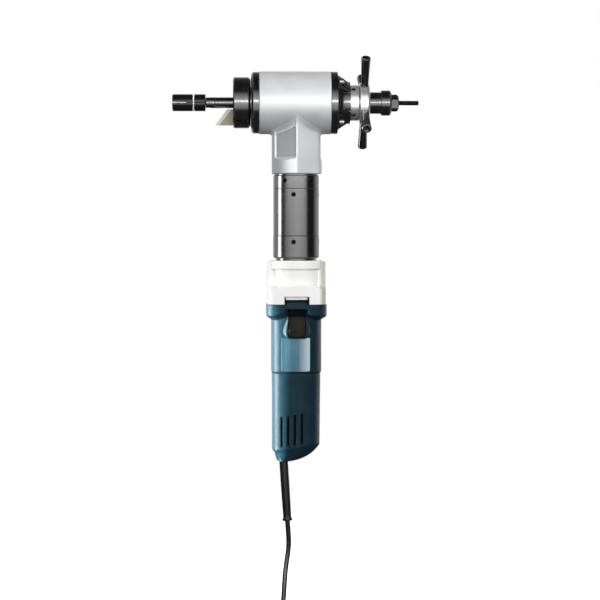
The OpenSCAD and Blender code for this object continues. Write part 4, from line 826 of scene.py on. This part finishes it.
def coil_winding(lead_end, per_turn=40):
    """Wound coil: the angle falls evenly, the radius steps by one pitch in the first half of each turn,
    inwards on even layers and outwards on odd ones, and the height rises one pitch in the last half turn of
    a layer."""
    t = np.linspace(0, COIL_TOTAL, int(COIL_TOTAL * per_turn) + 1)
    layer = np.minimum(np.floor(t / COIL_TURNS + 1e-6), COIL_LAYERS - 1)
    s = t - COIL_TURNS * layer
    turns = np.floor(s + 1e-6)
    steps = turns + ease(2 * (s - turns))
    radius = np.where(layer % 2 == 0, COIL_OUTER - COIL_PITCH * steps, COIL_INNER + COIL_PITCH * steps)
    rise = np.where(layer < COIL_LAYERS - 1, ease(2 * (s - COIL_TURNS + 0.5)), 0.0)
    angle = -TURN / 4 - TURN * t
    x, y, z = lead_end + [-COIL_SHIFT, COIL_OUTER, 0]
    return points_at(x + radius * np.cos(angle), y + radius * np.sin(angle), z + COIL_PITCH * (layer + rise))


def lead_path(cord_d):
    """Centreline of the lead: out of the boot, down to the floor, round the coil and into the plug."""
    lead_end = np.array([LAY_X, LAY_Y, FLOOR_Z + cord_d / 2])
    route = BOOT_END + LEAD_ROUTE + LEAD_DROP
    hanging = np.vstack([BOOT_END + LEAD_START, route, lead_end + LAY_RUN, lead_end])
    wound = coil_winding(lead_end)
    tail_start = wound[-1] + [cord_d, 0, 0]
    f = np.linspace(0, 1, TAIL_STEPS + 1)[1:]
    tail = tail_start + points_at(TAIL_GAP + TAIL_LEN * f, 0.0, (PLUG_Z - wound[-1, 2]) * ease(f))
    end = (PLUG_X0 + PLUG_SEAT, wound[-1, 1], PLUG_Z)
    return np.vstack([smooth_path(hanging, 5), wound, tail_start, tail, end])


class BEVELER_OT_lead(bpy.types.Operator):
    """Mains lead with its boot, coil, tie and plug"""

    bl_idname = "beveler.lead"
    bl_label = "Lead and boot"

    def execute(self, context):
        sizes = context.scene.beveler_sizes
        path = lead_path(sizes.cord_d)
        rings = swept(path, sizes.cord_d / 2, (0, -1, 0), (0, 0, 1))
        lead = make_piece("mains_lead", loft(rings), "lead_rubber", "machine",
                          ("cord_lead", "cord_coil"))
        self.make_boot(sizes)
        plug = self.make_plug(sizes)
        tie = self.make_tie()
        return {"FINISHED"}

    def make_boot(self, sizes):
        """Boot: a turned sleeve that thins a little towards a lip, with the lead's mouth sunk in its end."""
        r, lip, mouth = sizes.boot_d / 2, sizes.cord_d, sizes.cord_d / 2
        profile = eased_profile(
            [(-BOOT_INSIDE, r), (30 * MM, r), (BOOT_LEN - 6 * MM, r - 0.4 * MM),
             (BOOT_LEN - 3.4 * MM, r - 0.2 * MM), (BOOT_LEN - 2.6 * MM, lip), (BOOT_LEN, lip),
             (BOOT_LEN, mouth + 0.1 * MM), (BOOT_LEN - 3 * MM, mouth - 0.2 * MM)], 0.8 * MM)
        make_piece("lead_boot", loft(turned(profile, BOOT_TOP, BOOT_WAY, 64)), "lead_rubber", "machine",
                   ("cable_boot",), crease=50)

    def make_plug(self, sizes):
        """Two-pin plug: a turned body with a ringed neck, and two round-ended pins."""
        r = sizes.cord_d / 2
        neck = [(0, 0.2), (0, 2), (2, 2.2), (2.2, 1.3), (3.6, 1.3), (3.8, 2.5), (5.4, 2.6), (5.6, 1.6),
                (7, 1.7), (7.2, 2.9), (9, 3)]
        grip = [(12, 10.5), (22, 12.5), (23.5, 16), (24.5, 17), (33, 17), (34.5, 15.5), (34.5, 3)]
        body = np.vstack([np.array(neck) * MM + [0, r], np.array(grip) * MM])
        body = turned(eased_profile(body, 0.5 * MM, 4), (PLUG_X0, PLUG_Y, PLUG_Z), (1, 0, 0), 72)
        pieces = [make_piece("plug_body", loft(body), "lead_rubber", "machine", ("plug",),
                             crease=50)]
        pin = np.array([(33.5, 2.4), (43, 2.4), (43.2, 2.25), (52, 2.25), (53, 0.9)]) * MM
        for name, side in (("a", -PIN_SIDE), ("b", PIN_SIDE)):
            rings = turned(eased_profile(pin, 0.5 * MM), (PLUG_X0, PLUG_Y + side, PLUG_Z), (1, 0, 0), 32)
            pieces.append(make_piece(f"plug_pin_{name}", loft(rings), "bright_plain", "machine",
                                     crease=50))
        return pieces

    def make_tie(self):
        """Tie band: a rounded box loop round the coil's turns, its section a thin strap with soft edges."""
        low, high = (np.array(corner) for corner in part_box("coil_tie"))
        at, half = (low + high) / 2, (high - low) / 2
        turn = around(96)
        along = np.array([-1, -0.86, 0.86, 1, 1, 0.86, -0.86, -1])[:, None] * half[1]
        inset = np.array([0.35, 0, 0, 0.35, 0.65, 0.95, 0.95, 0.65])[:, None] * MM
        x, z = box_outline(turn, half[0] - inset, half[2] - inset, 0.32)
        rings = points_at(at[0] + x, at[1] - along, at[2] + z)
        return make_piece("coil_strap", loft(rings, tube=True), "moulded_black", "machine",
                          ("coil_tie",), crease=50)


# Head


class BEVELER_OT_head(bpy.types.Operator):
    """Satin head casting: barrel, flatted stem and side boss"""

    bl_idname = "beveler.head"
    bl_label = "Head casting"

    bore = 34 * MM
    edge = 1.3 * MM
    boss_up = 10.2 * MM

    def execute(self, context):
        sizes = context.scene.beveler_sizes
        barrel = [(HOUSE_X0, self.bore), (HOUSE_X0, HOUSE_R), (HOUSE_X1, HOUSE_R), (HOUSE_X1, self.bore)]
        barrel = turned(eased_profile(barrel, self.edge, 7), (0, 0, 0), (1, 0, 0), 192)
        make_piece("head_barrel", loft(barrel, tube=True), "silver_satin", "machine",
                   ("main_housing",), crease=40)
        rings, rough = self.stem_rings(sizes)
        make_piece("head_stem", loft(rings, tube=True), ("silver_satin", "silver_cast"), "machine",
                   crease=60, marks=rough)
        r = sizes.stem_w / 2
        boss = [(20 * MM, 10 * MM), (r + 1.5 * MM, 10 * MM), (r + 1.5 * MM, 4.4 * MM), (r + 0.9 * MM, 4 * MM),
                (r - 6 * MM, 4 * MM), (r - 6.4 * MM, 1 * MM)]
        boss = eased_profile(boss, np.array([2.5, 0.3, 0.3, 0.3]) * MM, 6)
        boss = turned(boss, (HEAD_X, 0, STEM_Z + self.boss_up), (1, 0, 0), 64)
        make_piece("stem_boss", loft(boss), "silver_satin", "machine", crease=40)
        return {"FINISHED"}

    def narrowed(self, sizes, turn, z, top):
        """Smooth smallest of the stem's circle and its six flats at each height, by a high power of their
        inverses, and where the panels of the two slanting flats towards the cutter are sunk. Below the ledge
        these two flats slope out to nothing."""
        power, panel_half, soft, slope, out = 90, 15.2 * MM, 0.8 * MM, 20 / 12, 30 * MM
        flat, ledge_z = sizes.stem_flat, STEM_Z + sizes.ledge
        near, sunk = np.full(z.shape, 2 / sizes.stem_d) ** power, np.zeros(z.shape)
        for degrees in (0, 180, 60, 120, 240, 300):
            turned_by = turn - math.radians(degrees)
            lean = np.cos(turned_by)
            depth = np.full(z.shape, flat if degrees % 180 else sizes.stem_w / 2)
            if degrees in (120, 240):
                side = flat * np.tan(np.clip(turned_by, -1.2, 1.2))
                panel = ease((panel_half - np.abs(side)) / soft) * ease((z - ledge_z) / soft)
                panel = panel * ease((top - 0.1 * MM - z) / soft)
                depth = depth + np.clip((ledge_z - z) * slope, 0, out) - sizes.panel * panel
                sunk = np.where(lean > 0.5, np.maximum(sunk, panel), sunk)
            near = near + np.where(lean > 0.05, np.maximum(lean, 0.0) / depth, 0.0) ** power
        return near ** (-1 / power), sunk

    def stem_rings(self, sizes):
        """Stem: the narrowed circle from the foot's rounded edge up to the barrel. At the top the skin leaves
        the stem in a quarter round: while the radius grows by the fillet, the distance from the barrel's axis
        falls to the barrel's own. The inner wall clears the pinion's bearings."""
        fillet, foot_round = sizes.fillet, 0.9 * MM
        turn, limit = around(360), HOUSE_R + fillet
        above_ledge = np.full(turn.shape, STEM_Z + sizes.ledge + 1 * MM)
        skin, _ = self.narrowed(sizes, turn, above_ledge, 0.0)
        top = -np.sqrt(limit**2 - (skin * np.sin(turn)) ** 2)
        z = STEM_Z + np.linspace(0, 1, 110)[:, None] * (top - STEM_Z)
        radius, sunk = self.narrowed(sizes, turn, z, top)
        foot = np.clip((STEM_Z + foot_round - z) / foot_round, 0, 1)
        radius = radius - foot_round * (1 - np.sqrt(np.maximum(1 - foot**2, 0)))
        bend = np.linspace(0, TURN / 4, 13)[1:, None]
        flare = skin + fillet * (1 - np.cos(bend))
        flare_z = -np.sqrt((limit - fillet * np.sin(bend)) ** 2 - (flare * np.sin(turn)) ** 2)
        inner = np.full(turn.shape, reach("pinion_bearings", 1)[1] + 0.3 * MM)
        inner_top = -np.sqrt(HOUSE_R**2 - (inner * np.sin(turn)) ** 2) + 1.2 * MM
        radius = np.vstack([radius, flare, inner, inner])
        z = np.vstack([z, flare_z, inner_top, np.full(turn.shape, STEM_Z)])
        rough = np.zeros(z.shape, int)
        rough[: len(sunk)] = sunk > 0.9
        return upright_rings(turn, radius, z), rough.ravel()


class BEVELER_OT_cover(bpy.types.Operator):
    """Black rear cover with its screw lugs, and the bright collar with its spanner holes"""

    bl_idname = "beveler.cover"
    bl_label = "Rear cover and collar"

    sides = 720

    def execute(self, context):
        make_piece("rear_cap", loft(self.cap_rings(), tube=True), "black_level", "machine",
                   ("rear_cover",), crease=35)
        rings, dark = self.collar_rings()
        make_piece("holed_collar", loft(rings, tube=True), ("bright_level", "black_screw"), "machine",
                   ("retaining_collar",), crease=40, marks=dark)
        return {"FINISHED"}

    def cap_rings(self):
        """Rear cover: a rim, then a cone that is whole only at the four screw lugs. Between the lugs it is
        cut to a cove, a quarter ellipse from the rim down to a short neck, and round each screw to the inner
        side of a pocket. The bore closes the tube."""
        rim, bore = HOUSE_X1 + 9 * MM, reach("guide_bush", 1)[1]
        neck, end, cove_step, cove_len = 27.2 * MM, 27.5 * MM, 1.2 * MM, 12 * MM
        pocket, pocket_floor = 5.2 * MM, 1.47 * MM
        lug_start, lug_wall = math.radians(25), math.radians(3)
        shoulder, length = COVER_R - 1.8 * MM, COVER_X1 - rim
        turn = around(self.sides)
        steps = np.concatenate([[0.0, 0.05, 0.5, 1.0, 1.45, 1.5], np.linspace(1.9, length / MM, 44)])
        way = steps[:, None] * MM
        cone = np.interp(way, [1 * MM, length], [shoulder, end])
        left = np.clip(1 - way / cove_len, 0, 1)
        cove = neck + (shoulder - cove_step - neck) * (1 - np.sqrt(1 - left**2))
        cove = np.where(way > 0, np.minimum(cove, cone), cone)
        from_cove = np.abs((turn + TURN / 8) % (TURN / 4) - TURN / 8)
        radius = cove + (cone - cove) * ease((from_cove - lug_start) / lug_wall)
        from_screw = TURN / 8 - from_cove
        beside = COVER_SCREW_R * np.sin(from_screw)
        inner = COVER_SCREW_R * np.cos(from_screw) - np.sqrt(np.maximum(pocket**2 - beside**2, 0))
        radius = np.where((beside < pocket) & (way > pocket_floor), np.minimum(radius, inner), radius)
        front = [(HOUSE_X1, bore), (HOUSE_X1, COVER_R), (rim, COVER_R), (rim, shoulder)]
        front = eased_profile(front, np.array([0.8, 1.6]) * MM, 6)[:-1]
        x = np.concatenate([front[:, 0], rim + way[:, 0], [COVER_X1]])[:, None]
        radius = np.vstack([np.tile(front[:, 1:], self.sides), radius, np.full(turn.shape, bore)])
        return level_rings(x, turn, radius)

    def collar_rings(self):
        """Retaining collar: a turned ring with four round spanner holes, sunk where the distance over the
        skin from the middle of a hole is less than the hole's radius. The bore closes the tube."""
        low, high = reach("retaining_collar", 0)
        skin, bore = reach("retaining_collar", 1)[1], reach("feed_nut", 1)[1] + 0.5 * MM
        hole, hole_x, hole_edge, hole_depth = 3.1 * MM, low + (high - low) * 0.33, 0.35 * MM, 4.5 * MM
        rows, turn = 64, around(self.sides)
        x = np.concatenate([
            low + np.array([0, 0, 0.1, 0.4]) * MM, np.linspace(low + 0.6 * MM, high - 1 * MM, rows),
            high - np.array([0.5, 0.15, 0, 0]) * MM])[:, None]
        eased = np.concatenate([[0, 0.4, 0.1, 0], np.zeros(rows), [0.15, 0.5, 0.9, 0]])[:, None] * MM
        away = np.hypot(x - hole_x, skin * (turn % (TURN / 4) - TURN / 8))
        sunk = ease((hole - away) / hole_edge)
        radius = skin - eased - hole_depth * sunk
        radius[[0, -1]] = bore
        # Faces in and round the holes get the dull black: painted shade in the spanner holes.
        deep = sunk > 0.1
        dark = deep | np.roll(deep, -1, axis=0) | np.roll(deep, -1, axis=1)
        return level_rings(x, turn, radius), dark.ravel()


# Motor

BODY_CORNER, COLLAR_CORNER = 26 * MM, 20 * MM
TRACK_PAST, TRACK_UP = 5 * MM, 4.4 * MM


def shell_front(x, side):
    """Front of the motor's grip at a place across it: flat in the middle, then the corner's arc."""
    flat = side / 2 - BODY_CORNER
    past = np.maximum(np.abs(x - HEAD_X) - flat, 0)
    return -flat - np.sqrt(np.maximum(BODY_CORNER**2 - past**2, 0))


def inset_outline(sides, wide, tall, corner, inset):
    """Offsets of a rounded rectangle's rings, each shrunk to the middle by its share."""
    x, z = box_outline(around(sides), wide, tall, corner)
    return x * inset, z * inset


def shrinking(edge, first, count):
    """Column of shares by which an outline shrinks to its middle: those of its edge, then even steps."""
    return np.concatenate([edge, np.linspace(first, 0.02, count)])[:, None]


class BEVELER_OT_motor(bpy.types.Operator):
    """Blue motor shell with its switch surround, slider, track, tongue and bare plate, and the painted shade
    in the gear case's notch
    """

    bl_idname = "beveler.motor"
    bl_label = "Motor shell"

    def execute(self, context):
        sizes = context.scene.beveler_sizes
        make_piece("motor_shell", loft(self.shell_rings(sizes), tube=True), "shell_blue", "machine",
                   ("motor_housing",), crease=40)
        make_piece("switch_cheeks", loft(self.cheek_rings(sizes), tube=True), "shell_blue", "machine",
                   crease=45)
        # The track is near black: painted shade in the niche above the slider.
        make_piece("switch_track", loft(self.track_rings(sizes)), "slot_dark", "machine",
                   crease=45)
        make_piece("switch_thumb", loft(self.thumb_rings(sizes)), "moulded_black", "switch",
                   ("switch_slider",), crease=50)
        make_piece("bare_plate", loft(self.plate_rings(sizes)), "plate_film", "machine",
                   crease=45)
        make_piece("lock_tab", loft(self.notch_shade_rings()), "slot_dark", "machine", crease=45)
        make_piece("shell_tongue", loft(self.tongue_rings()), "shell_blue", "machine",
                   crease=45)
        return {"FINISHED"}

    def shell_rings(self, sizes):
        """Motor shell: rounded squares from the wide collar down to the narrow grip, joined by a cove whose
        lower edge runs up on both sides towards the switch and leaves a niche there for the slider; the inner
        wall closes the tube."""
        collar, body, soft = sizes.collar_side / 2, sizes.body_side / 2, 0.8 * MM
        arch_half, arch_flat, arch_run, arch_rise = 33 * MM, 2 * MM, 27 * MM, 0.30
        cove_down, cove_reach, cove_len = 15.5 * MM, 5.5 * MM, 6.5 * MM
        niche_side, niche_up = sizes.slider_w / 2 + 1.8 * MM, 10.2 * MM
        top_edge, top_round, low_edge, low_round, wall = 1.4 * MM, 1.2 * MM, 1 * MM, 0.9 * MM, 4 * MM
        turn = around(320)
        front = np.sin(turn) < 0
        z = np.concatenate([
            MOTOR_Z0 + np.array([0, 0.15, 0.5, 1.0]) * MM,
            np.linspace(MOTOR_Z0 + 2 * MM, CASE_Z0 - 27 * MM, 24),
            np.linspace(CASE_Z0 - 26 * MM, CASE_Z0 - 2 * MM, 60),
            CASE_Z0 - np.array([1.4, 0.8, 0.3, 0.05]) * MM,
        ])[:, None]
        side = np.abs(rounded_square(turn, collar, COLLAR_CORNER) * np.cos(turn))
        arch = np.sqrt(np.maximum(arch_half - side, 0) ** 2 + arch_flat**2) - arch_flat
        edge_z = CASE_Z0 - cove_down + arch_rise * np.minimum(np.where(front, arch, 0), arch_run)
        share = ease((z - edge_z + cove_reach) / cove_len)
        side = np.abs(rounded_square(turn, body, BODY_CORNER) * np.cos(turn))
        niche = ease((niche_side - side) / soft) * ease((SWITCH_Z1 + niche_up - z) / soft)
        share = share * (1 - np.where(front, niche, 0))
        radius = rounded_square(turn, body + (collar - body) * share,
                                BODY_CORNER + (COLLAR_CORNER - BODY_CORNER) * share)
        radius = radius - top_round * ease((z - CASE_Z0 + top_edge) / top_edge) ** 2
        radius = radius - low_round * ease((MOTOR_Z0 + low_edge - z) / low_edge) ** 2
        radius = np.vstack([radius, np.full((2, turn.size), body - wall)])
        return upright_rings(turn, radius, np.vstack([z, [[CASE_Z0], [MOTOR_Z0]]]))

    def cheek_rings(self, sizes):
        """Switch surround: rings between a flaring outline and the slider's opening, raised in a soft swell
        over the shell's front and sunk into it at both ends."""
        narrow, flare, flare_down, flare_len = 11.6 * MM, 6.4 * MM, 8 * MM, 24 * MM
        outer_corner, inner_corner, gap = 0.45, 0.16, 0.6 * MM
        turn = around(160)
        low, high = SWITCH_Z0 - 2.6 * MM, SWITCH_Z1 + 13 * MM
        _, z_out = box_outline(turn, 1.0, (high - low) / 2, outer_corner)
        z_out = (low + high) / 2 + z_out
        wide = narrow + flare * ease((high - flare_down - z_out) / flare_len)
        x_out, _ = box_outline(turn, wide, 1.0, outer_corner)
        tall = (SWITCH_Z1 - SWITCH_Z0) / 2 + TRACK_PAST
        x_in, z_in = box_outline(turn, sizes.slider_w / 2 + gap, tall, inner_corner)
        z_in = SWITCH_Z + TRACK_UP + z_in
        s = np.array([0, 0.04, 0.12, 0.24, 0.40, 0.58, 0.74, 0.87, 0.95, 0.985, 1.0, 1.0])[:, None]
        rise = np.array([-2.0, -0.1, 0.7, 1.6, 2.7, 3.6, 4.1, 4.2, 3.9, 3.2, 2.2, -1.2])[:, None] * MM
        x = HEAD_X + x_out + (x_in - x_out) * s
        return points_at(x, shell_front(x, sizes.body_side) - rise, z_out + (z_in - z_out) * s)

    def thumb_rings(self, sizes):
        """Slider: rings of a rounded rectangle that shrink to its middle. The upper part is a sunk panel
        inside a rim, then the height steps up at an arched lip and rolls off at the lower end."""
        face, step, roll, sunk, crown, skirt = 3.9, 1.05, 2.2, 0.75, 0.4, 1.2
        tall, rows = (SWITCH_Z1 - SWITCH_Z0) / 2, 40
        inset = shrinking([1.0, 1.0, 0.985, 0.955], 0.92, rows)
        x, z = inset_outline(200, sizes.slider_w / 2, tall, 0.22, inset)
        up, across = (z / tall + 1) / 2, x / (sizes.slider_w / 2)
        lip = 0.47 - 0.10 * across**2
        height = face + step * ease((lip - up) / 0.025) - roll * ease((lip - 0.05 - up) / 0.44)
        rim = ease((0.90 - np.abs(across)) / 0.05) * ease((0.95 - up) / 0.04) * ease((up - lip) / 0.03)
        soften = np.array([0, 0.62, 0.9, *np.ones(rows + 1)])[:, None]
        height = (height - sunk * rim - crown * across**4) * soften
        height[0] = skirt
        return points_at(HEAD_X + x, FRONT_Y - height * MM, SWITCH_Z + z)

    def track_rings(self, sizes):
        """Track under the slider: a thin rounded plate with upright ribs, a cosine across it."""
        rib, base, swing, edge, foot = 3.3 * MM, 0.55, 0.35, 0.2, -1.5
        tall = (SWITCH_Z1 - SWITCH_Z0) / 2 + TRACK_PAST
        inset = shrinking([1.0, 1.0], 0.97, 36)
        x, z = inset_outline(200, sizes.slider_w / 2 + 0.5 * MM, tall, 0.16, inset)
        height = base + swing * np.cos(x / rib * TURN)
        height[:2] = [[foot], [edge]]
        return points_at(HEAD_X + x, FRONT_Y - height * MM, SWITCH_Z + TRACK_UP + z)

    def plate_rings(self, sizes):
        """Bare plate: a thin rounded rectangle bent over the shell's front, its edge rolled down."""
        half, shift, rows = 18.4 * MM, 1.4 * MM, 20
        low, high = MOTOR_Z0 + 2.0 * MM, SWITCH_Z0 - 1.0 * MM
        inset = shrinking([1.0, 1.0, 0.995, 0.985], 0.95, rows)
        rise = np.concatenate([[-1.0, 0.15, 0.4, 0.55], np.full(rows, 0.6)])[:, None] * MM
        x, z = inset_outline(160, half, (high - low) / 2, 0.10, inset)
        x = HEAD_X - shift + x
        return points_at(x, shell_front(x, sizes.body_side) - rise, (low + high) / 2 + z)

    def notch_shade_rings(self):
        """Near black U in the gear case's notch, painted shade of the gaps round the shell's tongue: rounded
        boxes along X, low in the middle and tall at both ends, where its two posts stand."""
        back, half, sunk = 35.6 * MM, 2.3 * MM, 0.4 * MM
        x = np.array([15.7, 15.7, 15.4, 14.5, 14.2, 14.1])[:, None] * MM
        tall = np.array([0.6, 9.0, 9.6, 9.6, 9.2, 6.4])[:, None] * MM
        x, tall = np.vstack([-x, x[::-1]]), np.vstack([tall, tall[::-1]])
        deep, high = box_outline(around(48), 1.0, 1.0, 0.25)
        return points_at(HEAD_X + x, half * deep - back, CASE_Z0 - sunk + (high + 1) / 2 * tall)

    def tongue_rings(self):
        """Tongue of the motor shell in front of the painted shade in the notch: a low rounded rectangle with
        a rolled edge.
        """
        front, up = 37.7 * MM, 0.4 * MM
        inset = np.array([1.0, 1.0, 0.985, 0.95, 0.85, 0.5, 0.05])[:, None]
        rise = np.array([-3.0, 0.0, 0.45, 0.7, 0.8, 0.8, 0.8])[:, None] * MM
        x, z = inset_outline(96, 13.0 * MM, 2.4 * MM, 0.3, inset)
        return points_at(HEAD_X + x, -front - rise, CASE_Z0 + up + z)


class BEVELER_OT_rear(bpy.types.Operator):
    """Blue rear housing with its slanting end, air slots and side recess"""

    bl_idname = "beveler.rear"
    bl_label = "Rear housing"

    corner = 0.76
    heel = 46 * MM
    heel_x = 8.6 * MM
    straight_up = 28 * MM
    slot_x = np.array([-19.5, -11.4, -2.8, 6.0]) * MM
    slot_z = REAR_Z0 + (19 + 1.4 * np.arange(4)) * MM
    slot_h = 39 * MM
    slot_deep = 4 * MM
    slot_shift = 0.9 * MM
    recess_half = 8 * MM
    recess_h = 20 * MM
    recess_deep = 1.2 * MM
    wall = 0.05 * MM

    def execute(self, context):
        sizes = context.scene.beveler_sizes
        rings, dark = self.rear_rings(sizes)
        make_piece("rear_shell", loft(rings), ("shell_blue", "slot_dark"), "machine",
                   ("rear_housing",), crease=38, marks=dark)
        return {"FINISHED"}

    def front_places(self, half):
        """Angles over the front half of the unit outline, and the place across it at each."""
        dense = np.linspace(math.pi, TURN, 4001)
        across = rounded_square(dense, 1.0, self.corner) * np.cos(dense)
        return dense, across * (half - self.slot_shift) - self.slot_shift

    def rear_grid(self, sizes):
        """Angles and heights of the grid, with a thin pair of lines at each edge of a slot and the recess."""
        half, wall = sizes.rear_side / 2, self.wall
        dense, places = self.front_places(half)
        sides = (-sizes.vent / 2, sizes.vent / 2)
        edges = np.concatenate([self.slot_x + side + gap for side in sides for gap in (-wall, wall)])
        slot_turn = np.interp(edges, places, dense)
        side_turn = np.arctan2(self.recess_half + np.array([-wall, wall]), half)
        turn = np.unique(np.concatenate(
            [around(300)[0], slot_turn, TURN - slot_turn, math.pi - side_turn, math.pi + side_turn]))
        low = REAR_Z0 + self.heel * (1 - np.cos(np.linspace(0.0, 1.13, 26)))
        foot, head, recess_z = self.slot_z, self.slot_z + self.slot_h, REAR_Z1 - self.recess_h
        z = np.unique(np.concatenate([
            low, np.linspace(low[-1], REAR_Z1 - 1.2 * MM, 34)[1:], REAR_Z1 - np.array([0.6, 0.2, 0]) * MM,
            foot - wall, foot + wall, head - wall, head + wall, [recess_z - wall, recess_z + wall]]))
        return turn[None, :], z[:, None]

    def rear_rings(self, sizes):
        """Rear housing: rounded squares between a left and a right limit that follow the end's slant and its
        round heel, narrowed front and back by two bevel planes. Air slots and the side recess are sunk by
        masks whose edges lie on the grid, and the inner wall goes back down as a smaller shell."""
        half, tall, heel = sizes.rear_side / 2, REAR_Z1 - REAR_Z0, self.heel
        slim, rim_edge, rim_round, inner_r = 1.2 * MM, 1.2 * MM, 0.9 * MM, 24.5 * MM
        slant, bevel, bevel_up, bevel_x = math.radians(9), math.radians(24), 17.5 * MM, 8 * MM
        turn, z = self.rear_grid(sizes)
        up = z - REAR_Z0
        left = np.interp(up, np.array([0, 0.8, 11.5, 14]) * MM, np.array([-24.5, -25.9, -28.5, -31.5]) * MM)
        round_right = np.sqrt(np.maximum(heel**2 - np.maximum(heel - up, 0) ** 2, 0)) - self.heel_x
        straight = np.interp(up, [self.straight_up, tall], [half - slim, half - 0.2 * MM])
        right = np.where(up < self.straight_up, np.minimum(round_right, half - slim), straight)
        x, y = box_outline(turn, (right - left) / 2, 1.0, self.corner)
        x = (left + right) / 2 + x
        cut = np.maximum(bevel_up + (x + bevel_x) * math.tan(slant) - up, 0) * math.tan(bevel)
        y = np.maximum(half - cut, 12 * MM) * y
        rim = 1 - rim_round * ease((up - tall + rim_edge) / rim_edge) ** 2 / half
        x, y = x * rim, y * rim
        dense, places = self.front_places(half)
        place = np.interp(np.where(turn > math.pi, turn, TURN - turn), dense, places)
        slot = np.zeros(x.shape, bool)
        for at, foot in zip(self.slot_x, self.slot_z):
            inside = (np.abs(place - at) < sizes.vent / 2) & (np.abs(np.sin(turn)) > 0.3)
            slot |= inside & (z > foot) & (z < foot + self.slot_h)
        recess = (np.abs(turn - math.pi) < math.atan2(self.recess_half, half)) & (up > tall - self.recess_h)
        outer = points_at(HEAD_X + x + self.recess_deep * recess, y - np.sign(y) * self.slot_deep * slot, z)
        # Faces of the air slots get the near black: painted shade inside the slots.
        dark = slot[:-1] & slot[1:]
        dark = dark & np.roll(dark, -1, axis=1)
        inner_z = np.array([REAR_Z1, REAR_Z0 + 30 * MM])[:, None]
        inner = upright_rings(turn, inner_r, inner_z) - [1 * MM, 0, 0]
        # Two rows of faces lead to and down the inner wall, and a fan closes each end
        plain = np.zeros(4 * turn.size, bool)
        return np.concatenate([outer, inner]), np.concatenate([dark.ravel(), plain])


# Chuck


class BEVELER_OT_chuck(bpy.types.Operator):
    """Garter spring round the jaws, in a part on each, and the threaded draw bar"""

    bl_idname = "beveler.chuck"
    bl_label = "Spring and draw bar"

    spring_r = 0.9 * MM
    wire_r = 0.2 * MM
    coils = 50

    def execute(self, context):
        sizes = context.scene.beveler_sizes
        for jaw in (1, 2, 3):
            make_piece(f"garter_spring_{jaw}", loft(self.garter_rings(TURN / 3 * (jaw - 2))), "spring_bright",
                       f"jaw_{jaw}", ("jaw_spring",))
        make_piece("threaded_bar", loft(self.bar_rings(sizes)), "black_screw", "draw_bar",
                   ("draw_bar",), crease=60)
        return {"FINISHED"}

    def garter_rings(self, middle_turn):
        """Third of the garter spring that lies over one jaw: a thin round wire along a helix that winds round
        an arc."""
        t = np.linspace(-0.5, 0.5, self.coils * 12 + 1)
        ring, wind = middle_turn + TURN / 3 * t, TURN * self.coils * t
        out = points_at(0.0, np.cos(ring), np.sin(ring))
        lean = np.cos(wind)[:, None] * out + np.sin(wind)[:, None] * [1.0, 0.0, 0.0]
        path = [RING_X, 0, 0] + (RING_R - self.spring_r) * out + (self.spring_r - self.wire_r) * lean
        return carried(path, self.wire_r, lean, np.cross(headings(path), lean), 8)

    def bar_rings(self, sizes):
        """Draw bar: a plain rod whose outer end carries a thread, the radius falling and rising once a pitch
        as the angle and the way along it wind together."""
        r, pitch = sizes.bar_d / 2, sizes.thread
        groove_deep, run_in, crest = 0.2 * MM, 2 * MM, 1.15
        tip, tip_len, butt = 0.8 * MM, 0.9 * MM, 0.3 * MM
        start, turn = NUT_X1 - 6 * MM, around(40)
        x = np.concatenate([
            [BAR_X0, BAR_X0 + butt], np.linspace(BAR_X0 + 1 * MM, start - 1 * MM, 12),
            np.arange(start, BAR_X1 - tip_len, pitch / 8), BAR_X1 - np.array([0.8, 0.4, 0]) * MM])[:, None]
        groove = np.abs((x / pitch - turn / TURN) % 1.0 - 0.5) * 2
        radius = r - groove_deep * ease((x - start) / run_in) * (1 - ease(groove * crest))
        radius = np.minimum(radius, r - tip * ease((x - BAR_X1 + tip_len) / tip_len))
        radius = np.minimum(radius, r - butt * ease((BAR_X0 + butt - x) / butt))
        return level_rings(x, turn, radius)


class BEVELER_PT_panel(bpy.types.Panel):
    """Sidebar list of the pieces and their sizes, colours and stage"""

    bl_idname = "BEVELER_PT_panel"
    bl_label = "Pipe beveling machine"
    bl_space_type = "VIEW_3D"
    bl_region_type = "UI"
    bl_category = "Beveler"

    def draw(self, context):
        scene = context.scene
        for group in (scene.beveler_sizes, scene.beveler_colours, scene.beveler_stage):
            box = self.layout.box()
            for name in group.__annotations__:
                box.prop(group, name)
        for operator in OPERATORS:
            self.layout.operator(operator.bl_idname)


OPERATORS = (
    BEVELER_OT_finishes,
    BEVELER_OT_stage,
    BEVELER_OT_lead,
    BEVELER_OT_head,
    BEVELER_OT_cover,
    BEVELER_OT_motor,
    BEVELER_OT_rear,
    BEVELER_OT_chuck,
)
CLASSES = (BevelerSizes, BevelerColours, BevelerStage, *OPERATORS, BEVELER_PT_panel)


def register():
    for each in CLASSES:
        bpy.utils.register_class(each)
    bpy.types.Scene.beveler_sizes = PointerProperty(type=BevelerSizes)
    bpy.types.Scene.beveler_colours = PointerProperty(type=BevelerColours)
    bpy.types.Scene.beveler_stage = PointerProperty(type=BevelerStage)


def unregister():
    del bpy.types.Scene.beveler_stage
    del bpy.types.Scene.beveler_colours
    del bpy.types.Scene.beveler_sizes
    for each in reversed(CLASSES):
        bpy.utils.unregister_class(each)


def main():
    register()
    bpy.ops.beveler.finishes()
    bpy.ops.beveler.stage()
    bpy.ops.beveler.lead()
    bpy.ops.beveler.head()
    bpy.ops.beveler.cover()
    bpy.ops.beveler.motor()
    bpy.ops.beveler.rear()
    bpy.ops.beveler.chuck()


if __name__ == "__main__":
    main()
